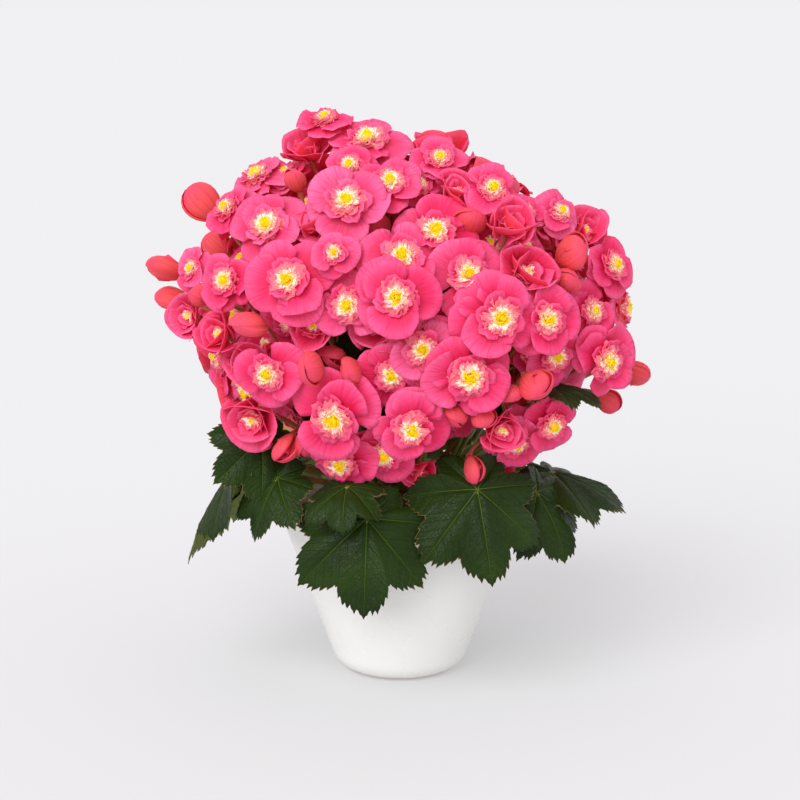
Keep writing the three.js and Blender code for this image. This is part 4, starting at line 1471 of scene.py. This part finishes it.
def leaf_outline(steps):
    """The angle round the leaf, the reach of the toothed edge, and the angle of the nearest main vein."""
    angles, reaches, veins = [], [], []
    for k, (tip, reach) in enumerate(LOBES):
        for side in (-1, 1):
            other = k + side
            outer = not 0 <= other < len(LOBES)
            notch = 180 * side if outer else (tip + LOBES[other][0]) / 2
            low = SINUS if outer else min(reach, LOBES[other][1]) * NOTCH
            share = np.linspace(1, 0, steps, endpoint=False)
            if side > 0:
                share = 1 - share
            rim = low + (reach - low) * (1 - share**LOBE_POWER)
            saw = 1 - share * TEETH % 1
            fine = 1 - share * TEETH * FINE_TEETH % 1
            rim = rim + reach * (TOOTH * saw + FINE_TOOTH * fine - TOOTH_SINK) * (1 - TOOTH_FADE * share)
            angles.append(tip + (notch - tip) * share)
            reaches.append(rim)
            veins.append(np.full(steps, float(tip)))
    return np.radians(np.concatenate(angles)), np.concatenate(reaches), np.radians(np.concatenate(veins))


def arched(x, y, length, bend, below):
    """Flat leaf points laid on the blade's arch, a given distance under its upper face."""
    bend = math.radians(bend)
    angle = bend * x / length
    sag = SIDE_SAG * y**2 / length + SIDE_FOLD * np.abs(y)
    radius = length / bend
    return np.stack([np.sin(angle) * (radius - below), y,
                     -(1 - np.cos(angle)) * radius - sag - np.cos(angle) * below], -1)


def leaf_blade(leaf, seed, thickness, rows=BLADE_ROWS, steps=HALF_LOBE_STEPS):
    """Points, faces and attributes of one blade, with sunken veins and a wavy rim."""
    length = leaf.length
    draw = seeded(BLADE_SEED + BLADE_SEED_STEP * seed)
    theta, reach, vein = leaf_outline(steps)
    edge = np.linspace(0, 1, rows + 1)[1:, None] ** ROW_POWER
    radius = edge * reach * length
    along = radius * np.cos(theta - vein)
    across = np.abs(radius * np.sin(theta - vein))
    wave = edge**2 * length * sum(size * np.sin(count * theta + PHASE * draw()) for count, size in EDGE_WAVES)
    swing = (along - across * FOLD_LEAN) * 2 * math.pi / FOLD_LENGTH + PHASE * draw()
    folds = FOLD * np.sin(swing) * across / (across + FOLD_START)
    veins = VEIN_DEPTH * np.exp(-((across / VEIN_WIDTH) ** 2))
    relief = wave + folds * (1 - FOLD_FADE * edge) - veins * (1 - VEIN_FADE * edge)
    relief += PUFF * across / (across + PUFF_START) * (1 - PUFF_FADE * edge)
    x, y = radius * np.cos(theta), radius * np.sin(theta)
    wall = thickness * (1 - RIM_THINNED * edge)
    upper = arched(x, y, length, leaf.bend, -relief)
    lower = arched(x, y, length, leaf.bend, wall - relief)
    sunk = np.array([VEIN_DEPTH, VEIN_DEPTH + thickness])
    hub_points = arched(np.zeros(2), np.zeros(2), length, leaf.bend, sunk)
    points = np.concatenate([upper.reshape(-1, 3), lower.reshape(-1, 3), hub_points])
    points = points @ leaf.axes().T + np.array(leaf.hub, float)
    columns = len(theta)
    count = rows * columns
    faces = []
    for j in range(columns):
        k = (j + 1) % columns
        faces.append((2 * count, j, k))
        faces.append((2 * count + 1, count + k, count + j))
        for row in range(rows - 1):
            low, high = row * columns, (row + 1) * columns
            faces.append((low + j, high + j, high + k, low + k))
            faces.append((count + low + k, count + high + k, count + high + j, count + low + j))
        last = (rows - 1) * columns
        faces.append((last + j, count + last + j, count + last + k, last + k))
    both = {name: np.append(np.tile(np.broadcast_to(values, radius.shape).ravel(), 2), [0.0, 0.0])
            for name, values in (("along", along), ("across", across), ("edge", edge))}
    under = np.concatenate([np.zeros(count), np.ones(count), [0.0, 1.0]])
    return points, faces, numbers(under=under, **both)


def stalk_end(leaf):
    """Where a leaf's stalk meets the blade's underside."""
    axes = leaf.axes()
    return np.array(leaf.hub, float) - axes[:, 2] * HUB_UNDER + axes[:, 0] * HUB_AHEAD


def leaf_stalk_line(leaf, index):
    """The stalk from the crown to the blade's underside."""
    height = SOIL_CROWN + TIER_LOW + (index % TIERS) * TIER_STEP
    flat = unit(np.array(leaf.hub, float) * [1, 1, 0])
    root = flat * (CROWN_RADIUS + GAP) + UP * height
    end = stalk_end(leaf)
    bend = lerp(root, end, LEAF_BEND)
    bend[2] = max(end[2], height) + LEAF_BEND_RISE
    return stalk_line(arc(root, bend, end, STALK_STEPS), LEAF_STALK)


INNER_SEED = 88
INNER_LEAVES = 30
INNER_REACHES = (0.3, 0.48)
INNER_HEIGHTS = (0.75, -0.75)
INNER_TURN = 70
INNER_DIPS = (30, 70)
INNER_LENGTHS = (38, 52)
INNER_BEND = 30
INNER_ROLL = 40
INNER_ROWS = 5
INNER_STEPS = 8
INNER_STALK_SIDES = 6
INNER_STALK_BEND = 0.6
INNER_STALK_RISE = 12


def inner_leaves():
    """The leaves inside the dome, among the stalks, each turned its own way."""
    draw = seeded(INNER_SEED)
    leaves = []
    for i in range(INNER_LEAVES):
        place = spiral_point(i, lerp(*INNER_HEIGHTS, (i + 0.5) / INNER_LEAVES))
        hub = lerp(DOME_CENTRE, place, lerp(*INNER_REACHES, draw()))
        across, along, _ = hub - DOME_CENTRE
        heading = math.degrees(math.atan2(along, across)) + INNER_TURN * (draw() - 0.5)
        dip, length = lerp(*INNER_DIPS, draw()), lerp(*INNER_LENGTHS, draw())
        leaves.append(Leaf(hub, heading, dip, length, INNER_BEND, INNER_ROLL * (draw() - 0.5)))
    return leaves


def inner_stalk_line(leaf):
    """The stalk from the fan's root to an inner leaf."""
    end = stalk_end(leaf)
    bend = lerp(FAN, end, INNER_STALK_BEND) + UP * INNER_STALK_RISE
    return stalk_line(arc(FAN, bend, end, STALK_STEPS), LEAF_STALK)


def joined(name, *pieces):
    """One object from several, with their materials and attributes."""
    bpy.ops.object.select_all(action="DESELECT")
    for piece in pieces:
        piece.select_set(True)
    bpy.context.view_layer.objects.active = pieces[0]
    bpy.ops.object.join()
    pieces[0].name = name
    return pieces[0]


# ---------------------------------------------------------------- operators


def settings(group):
    """The scene's settings of that group."""
    return getattr(bpy.context.scene, f"begonia_{group}")


KEY_FROM = (-0.55, -1.2, 1.0)
KEY_ANGLE = math.radians(50)
FLOOR_REACH = 400.0
SENSOR = 36


class BEGONIA_OT_stage(bpy.types.Operator):
    """Lays the pale floor, hangs the soft studio lights and sets the camera"""
    bl_idname = "begonia.stage"
    bl_label = "Stage"

    def execute(self, context):
        stage = settings("stage")
        signs = ((-1, -1), (1, -1), (1, 1), (-1, 1))
        corners = [(x * FLOOR_REACH, y * FLOOR_REACH, 0) for x, y in signs]
        mesh = bpy.data.meshes.new("floor")
        mesh.from_pydata(corners, [], [(0, 1, 2, 3)])
        add_piece("floor", mesh, floor_finish(stage))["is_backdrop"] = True
        self.light_room(context.scene, stage)
        self.set_camera(context.scene, stage)
        return {"FINISHED"}

    @staticmethod
    def light_room(scene, stage):
        world = bpy.data.worlds.new("studio")
        world.use_nodes = True
        backing = world.node_tree.nodes["Background"]
        backing.inputs["Color"].default_value = (*stage.room, 1)
        scene.world = world
        lamp = bpy.data.lights.new("key", "SUN")
        lamp.energy = stage.sun
        lamp.angle = KEY_ANGLE
        light = bpy.data.objects.new("key", lamp)
        light.rotation_euler = (-Vector(KEY_FROM)).to_track_quat("-Z", "Y").to_euler()
        scene.collection.objects.link(light)
        scene.view_settings.view_transform = "Standard"

    @staticmethod
    def set_camera(scene, stage):
        lens = bpy.data.cameras.new("camera")
        lens.lens = stage.lens
        lens.sensor_width = SENSOR
        camera = bpy.data.objects.new("camera", lens)
        away = Vector((0, -math.cos(stage.elevation), math.sin(stage.elevation))) * stage.distance
        camera.location = Vector((0, 0, stage.aim)) + away
        camera.rotation_euler = (-away).to_track_quat("-Z", "Y").to_euler()
        scene.collection.objects.link(camera)
        scene.camera = camera


def wall_radius(z):
    """The radius of the pot's outside at a height."""
    return lerp(POT_FOOT, POT_RIM, z / POT_HEIGHT)


def inner_profile(grow):
    """The inside's bottom corner and bevel, for the pot's cavity or what fills it."""
    inward, up = INNER_STEP
    low = POT_FLOOR + up
    radius = wall_radius(low) - POT_WALL - grow
    return [(radius, low), (radius - inward, POT_FLOOR + grow)]


FOOT_STEPS = 16
WALL_STEPS = 8
LIP_STEPS = 7


def pot_profile():
    """The pot's outline from the middle of the foot, up the wall, over the lip and down inside."""
    start, corner = np.array([POT_FLAT, 0.0]), np.array([POT_FOOT, 0.0])
    foot = arc(start, corner, np.array([wall_radius(POT_CURVE), POT_CURVE]), FOOT_STEPS).tolist()
    top = POT_HEIGHT - POT_ROUND
    wall = [(wall_radius(z), z) for z in np.linspace(POT_CURVE, top, WALL_STEPS)[1:]]
    turns = np.linspace(0, math.pi / 2, LIP_STEPS)[1:]
    outer_lip = [(POT_RIM - POT_ROUND * (1 - math.cos(a)), top + POT_ROUND * math.sin(a)) for a in turns]
    inner_lip = [(POT_RIM - POT_WALL + POT_ROUND * (1 - math.sin(a)), top + POT_ROUND * math.cos(a))
                 for a in turns]
    inner = inner_profile(0)
    middle = [(inner[1][0] * 0.5, POT_FLOOR), (0, POT_FLOOR)]
    return [(0, 0), (POT_FLAT * 0.5, 0), *foot, *wall, *outer_lip, *inner_lip, *inner, *middle]


class BEGONIA_OT_pot(bpy.types.Operator):
    """Turns the tapered cover pot with its rounded foot and rim"""
    bl_idname = "begonia.pot"
    bl_label = "Pot"

    def execute(self, context):
        pot = settings("pot")
        points, faces = turned_body(pot_profile(), pot.sides)
        piece = add_piece("glazed_pot", new_mesh("glazed_pot", points, faces), glaze_finish(pot))
        hand_over(piece, "glaze", "pot")
        return {"FINISHED"}


SOIL_RINGS = 26
SOIL_SIDES = 96
SOIL_MIDDLE = 2
# The broad heaps and the lumps on them: heights, and waves in radians a millimetre across and along.
HEAP, LUMP = 0.5, 0.35
HEAP_WAVES = (0.21, 0.26)
LUMP_WAVES = (0.55, 0.4)
SOIL_SINK = 0.4  # how far they lie under the solid's face on average
SOIL_STILL = 0.2  # the face stays smooth where it is less than this above its edge
CRUMB_RADIUS = 1.0
CRUMB_SEED = 8
CRUMB_LEAST = (0.5, 0.4, 0.3)
CRUMB_MOST = (2.0, 1.3, 0.9)
CRUMB_UPWARD = 0.6


class BEGONIA_OT_soil(bpy.types.Operator):
    """Fills the pot with crumbly compost"""
    bl_idname = "begonia.soil"
    bl_label = "Compost"

    def execute(self, context):
        pot = settings("pot")
        edge = wall_radius(SOIL_EDGE) - POT_WALL - GAP
        inner = inner_profile(GAP)
        radii = np.linspace(edge, SOIL_MIDDLE, SOIL_RINGS)
        heaped = [(radius, lerp(SOIL_CROWN, SOIL_EDGE, radius / edge)) for radius in radii]
        profile = [(0, inner[1][1]), inner[1], inner[0], *heaped, (0, SOIL_CROWN)]
        points, faces = turned_body(profile, SOIL_SIDES, self.roughened)
        piece = self.crumbs().grow(
            "compost", new_mesh("compost_bed", points, faces), crumbs=pot.crumbs, seed=CRUMB_SEED, size=1.0,
            compost=compost_finish(pot))
        hand_over(piece, "compost", "soil")
        return {"FINISHED"}

    @staticmethod
    def roughened(points):
        """Small heaps and hollows in the compost's upper face."""
        x, y, z = points.T
        top = z > SOIL_EDGE + SOIL_STILL
        heaps = HEAP * np.sin(x * HEAP_WAVES[0] + 1) * np.sin(y * HEAP_WAVES[1])
        heaps += LUMP * np.sin(x * LUMP_WAVES[0] + y * LUMP_WAVES[1])
        return points + np.column_stack([0 * x, 0 * y, np.where(top, heaps - SOIL_SINK, 0)])

    @staticmethod
    def crumbs():
        """Crumbs scattered over the faces that look up."""
        growth = Growth("crumbs", {"Crumbs": "Float", "Seed": "Int", "Size": "Float", "Compost": "Material"})
        bed = growth.given("Geometry")
        normal = growth.value("GeometryNodeInputNormal", {}, {}, "Normal")
        upward = growth.value("ShaderNodeSeparateXYZ", {}, {"Vector": normal}, "Z")
        looks_up = upward.math("GREATER_THAN", CRUMB_UPWARD)
        roots, _ = growth.scattered(bed, growth.given("Crumbs"), looks_up)
        sockets = {"Radius": CRUMB_RADIUS * MM, "Subdivisions": 1}
        crumb = growth.value("GeometryNodeMeshIcoSphere", {}, sockets, "Mesh")
        sockets = {"Euler": growth.drawn((0.0, 0.0, 0.0), (PHASE, PHASE, PHASE))}
        turn = growth.value("FunctionNodeEulerToRotation", {}, sockets, "Rotation")
        size = growth.stretched(growth.drawn(CRUMB_LEAST, CRUMB_MOST), growth.given("Size"))
        crumbs = growth.on_points(roots, crumb, turn, Scale=size)
        growth.finish((bed, growth.given("Compost")), (crumbs, growth.given("Compost")))
        return growth


class BEGONIA_OT_stems(bpy.types.Operator):
    """Grows the crown, the main stems and their branches"""
    bl_idname = "begonia.stems"
    bl_label = "Stems"

    def execute(self, context):
        leaf = settings("leaf")
        mesh = growth_mesh("stem_lines", stem_lines())
        piece = stalk_growth().grow(
            "branching_stems", mesh, stalk_thickness=1.0, stalk_sides=STALK_SIDES, hairs=leaf.hairs,
            seed=3, stalk_material=stalk_finish(leaf))
        hand_over(piece, "stem", "stems")
        return {"FINISHED"}


class BEGONIA_OT_leaves(bpy.types.Operator):
    """Makes each leaf: a veined, toothed blade on its hairy stalk"""
    bl_idname = "begonia.leaves"
    bl_label = "Leaves"

    def execute(self, context):
        leaf = settings("leaf")
        blade_finish = leaf_finish(leaf)
        finish = stalk_finish(leaf)
        growth = stalk_growth()
        for index, form in enumerate(LEAVES):
            number = f"{index + 1:02d}"
            points, faces, attributes = leaf_blade(form, index, leaf.thickness / MM)
            blade = add_piece("blade", new_mesh("blade", points, faces, attributes=attributes), blade_finish)
            line = growth_mesh("leaf_stalk", [leaf_stalk_line(form, index)])
            stalk = growth.grow("stalk", line, stalk_thickness=1.0, stalk_sides=STALK_SIDES,
                                hairs=leaf.hairs, seed=index, stalk_material=finish)
            hand_over(joined(f"begonia_leaf_{number}", blade, stalk), "leaf", f"leaf_{number}")
        self.grow_inner(leaf, growth, blade_finish, finish)
        return {"FINISHED"}

    @staticmethod
    def grow_inner(leaf, growth, blade_finish, finish):
        """The leaves inside the dome, in one piece."""
        forms = inner_leaves()
        blades = []
        for index, form in enumerate(forms):
            points, faces, attributes = leaf_blade(
                form, index + len(LEAVES), leaf.thickness / MM, INNER_ROWS, INNER_STEPS)
            mesh = new_mesh("blade", points, faces, attributes=attributes)
            blades.append(add_piece("blade", mesh, blade_finish))
        lines = growth_mesh("inner_stalks", [inner_stalk_line(form) for form in forms])
        stalks = growth.grow("stalks", lines, stalk_thickness=1.0, stalk_sides=INNER_STALK_SIDES,
                             hairs=0.0, seed=1, stalk_material=finish)
        hand_over(joined("inner_leaves", *blades, stalks), "leaf")


class BEGONIA_OT_sprays(bpy.types.Operator):
    """Sets every spray's double blooms, half-open cups and buds on their stalks"""
    bl_idname = "begonia.sprays"
    bl_label = "Sprays"

    def execute(self, context):
        bloom, leaf = settings("bloom"), settings("leaf")
        petals, stalks = petal_finish(bloom), stalk_finish(leaf)
        shapes, places = petal_shapes()
        growth = spray_growth()
        for index, spray in enumerate(sprays()):
            number = f"{index + 1:02d}"
            piece = growth.grow(
                f"flower_spray_{number}", spray_mesh(spray, places, index), petal_shapes=shapes,
                spread=bloom.spread, ruffle=bloom.ruffle, ripples=PETAL_RIPPLES, petal_material=petals,
                stalk_thickness=1.0, stalk_sides=STALK_SIDES, hairs=leaf.hairs * 0.5, seed=index,
                stalk_material=stalks)
            hand_over(piece, "petal", f"spray_{number}")
        for shape in list(shapes.objects):
            bpy.data.objects.remove(shape)
        bpy.data.collections.remove(shapes)
        return {"FINISHED"}


class BEGONIA_PT_pieces(bpy.types.Panel):
    """Lists the pieces and their settings"""
    bl_label = "Potted begonia"
    bl_space_type = "VIEW_3D"
    bl_region_type = "UI"
    bl_category = "Begonia"

    def draw(self, context):
        for operator in OPERATORS:
            self.layout.operator(operator.bl_idname)
        for group, kind in SETTINGS.items():
            box = self.layout.box()
            box.label(text=group.capitalize())
            for name in kind.__annotations__:
                box.prop(settings(group), name)


SETTINGS = {"pot": PotSettings, "bloom": BloomSettings, "leaf": LeafSettings, "stage": StageSettings}
OPERATORS = (
    BEGONIA_OT_stage, BEGONIA_OT_pot, BEGONIA_OT_soil, BEGONIA_OT_stems, BEGONIA_OT_leaves,
    BEGONIA_OT_sprays)


def register():
    for kind in (*SETTINGS.values(), *OPERATORS, BEGONIA_PT_pieces):
        bpy.utils.register_class(kind)
    for group, kind in SETTINGS.items():
        setattr(bpy.types.Scene, f"begonia_{group}", PointerProperty(type=kind))


def unregister():
    for group in SETTINGS:
        delattr(bpy.types.Scene, f"begonia_{group}")
    for kind in reversed((*SETTINGS.values(), *OPERATORS, BEGONIA_PT_pieces)):
        bpy.utils.unregister_class(kind)


def main():
    register()
    bpy.ops.begonia.stage()
    bpy.ops.begonia.pot()
    bpy.ops.begonia.soil()
    bpy.ops.begonia.stems()
    bpy.ops.begonia.leaves()
    bpy.ops.begonia.sprays()
    boxes = {"cad": CAD_BOX, "visual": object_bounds()}
    {name: [list(corner) for corner in box] for name, box in boxes.items()}


if __name__ == "__main__":
    main()
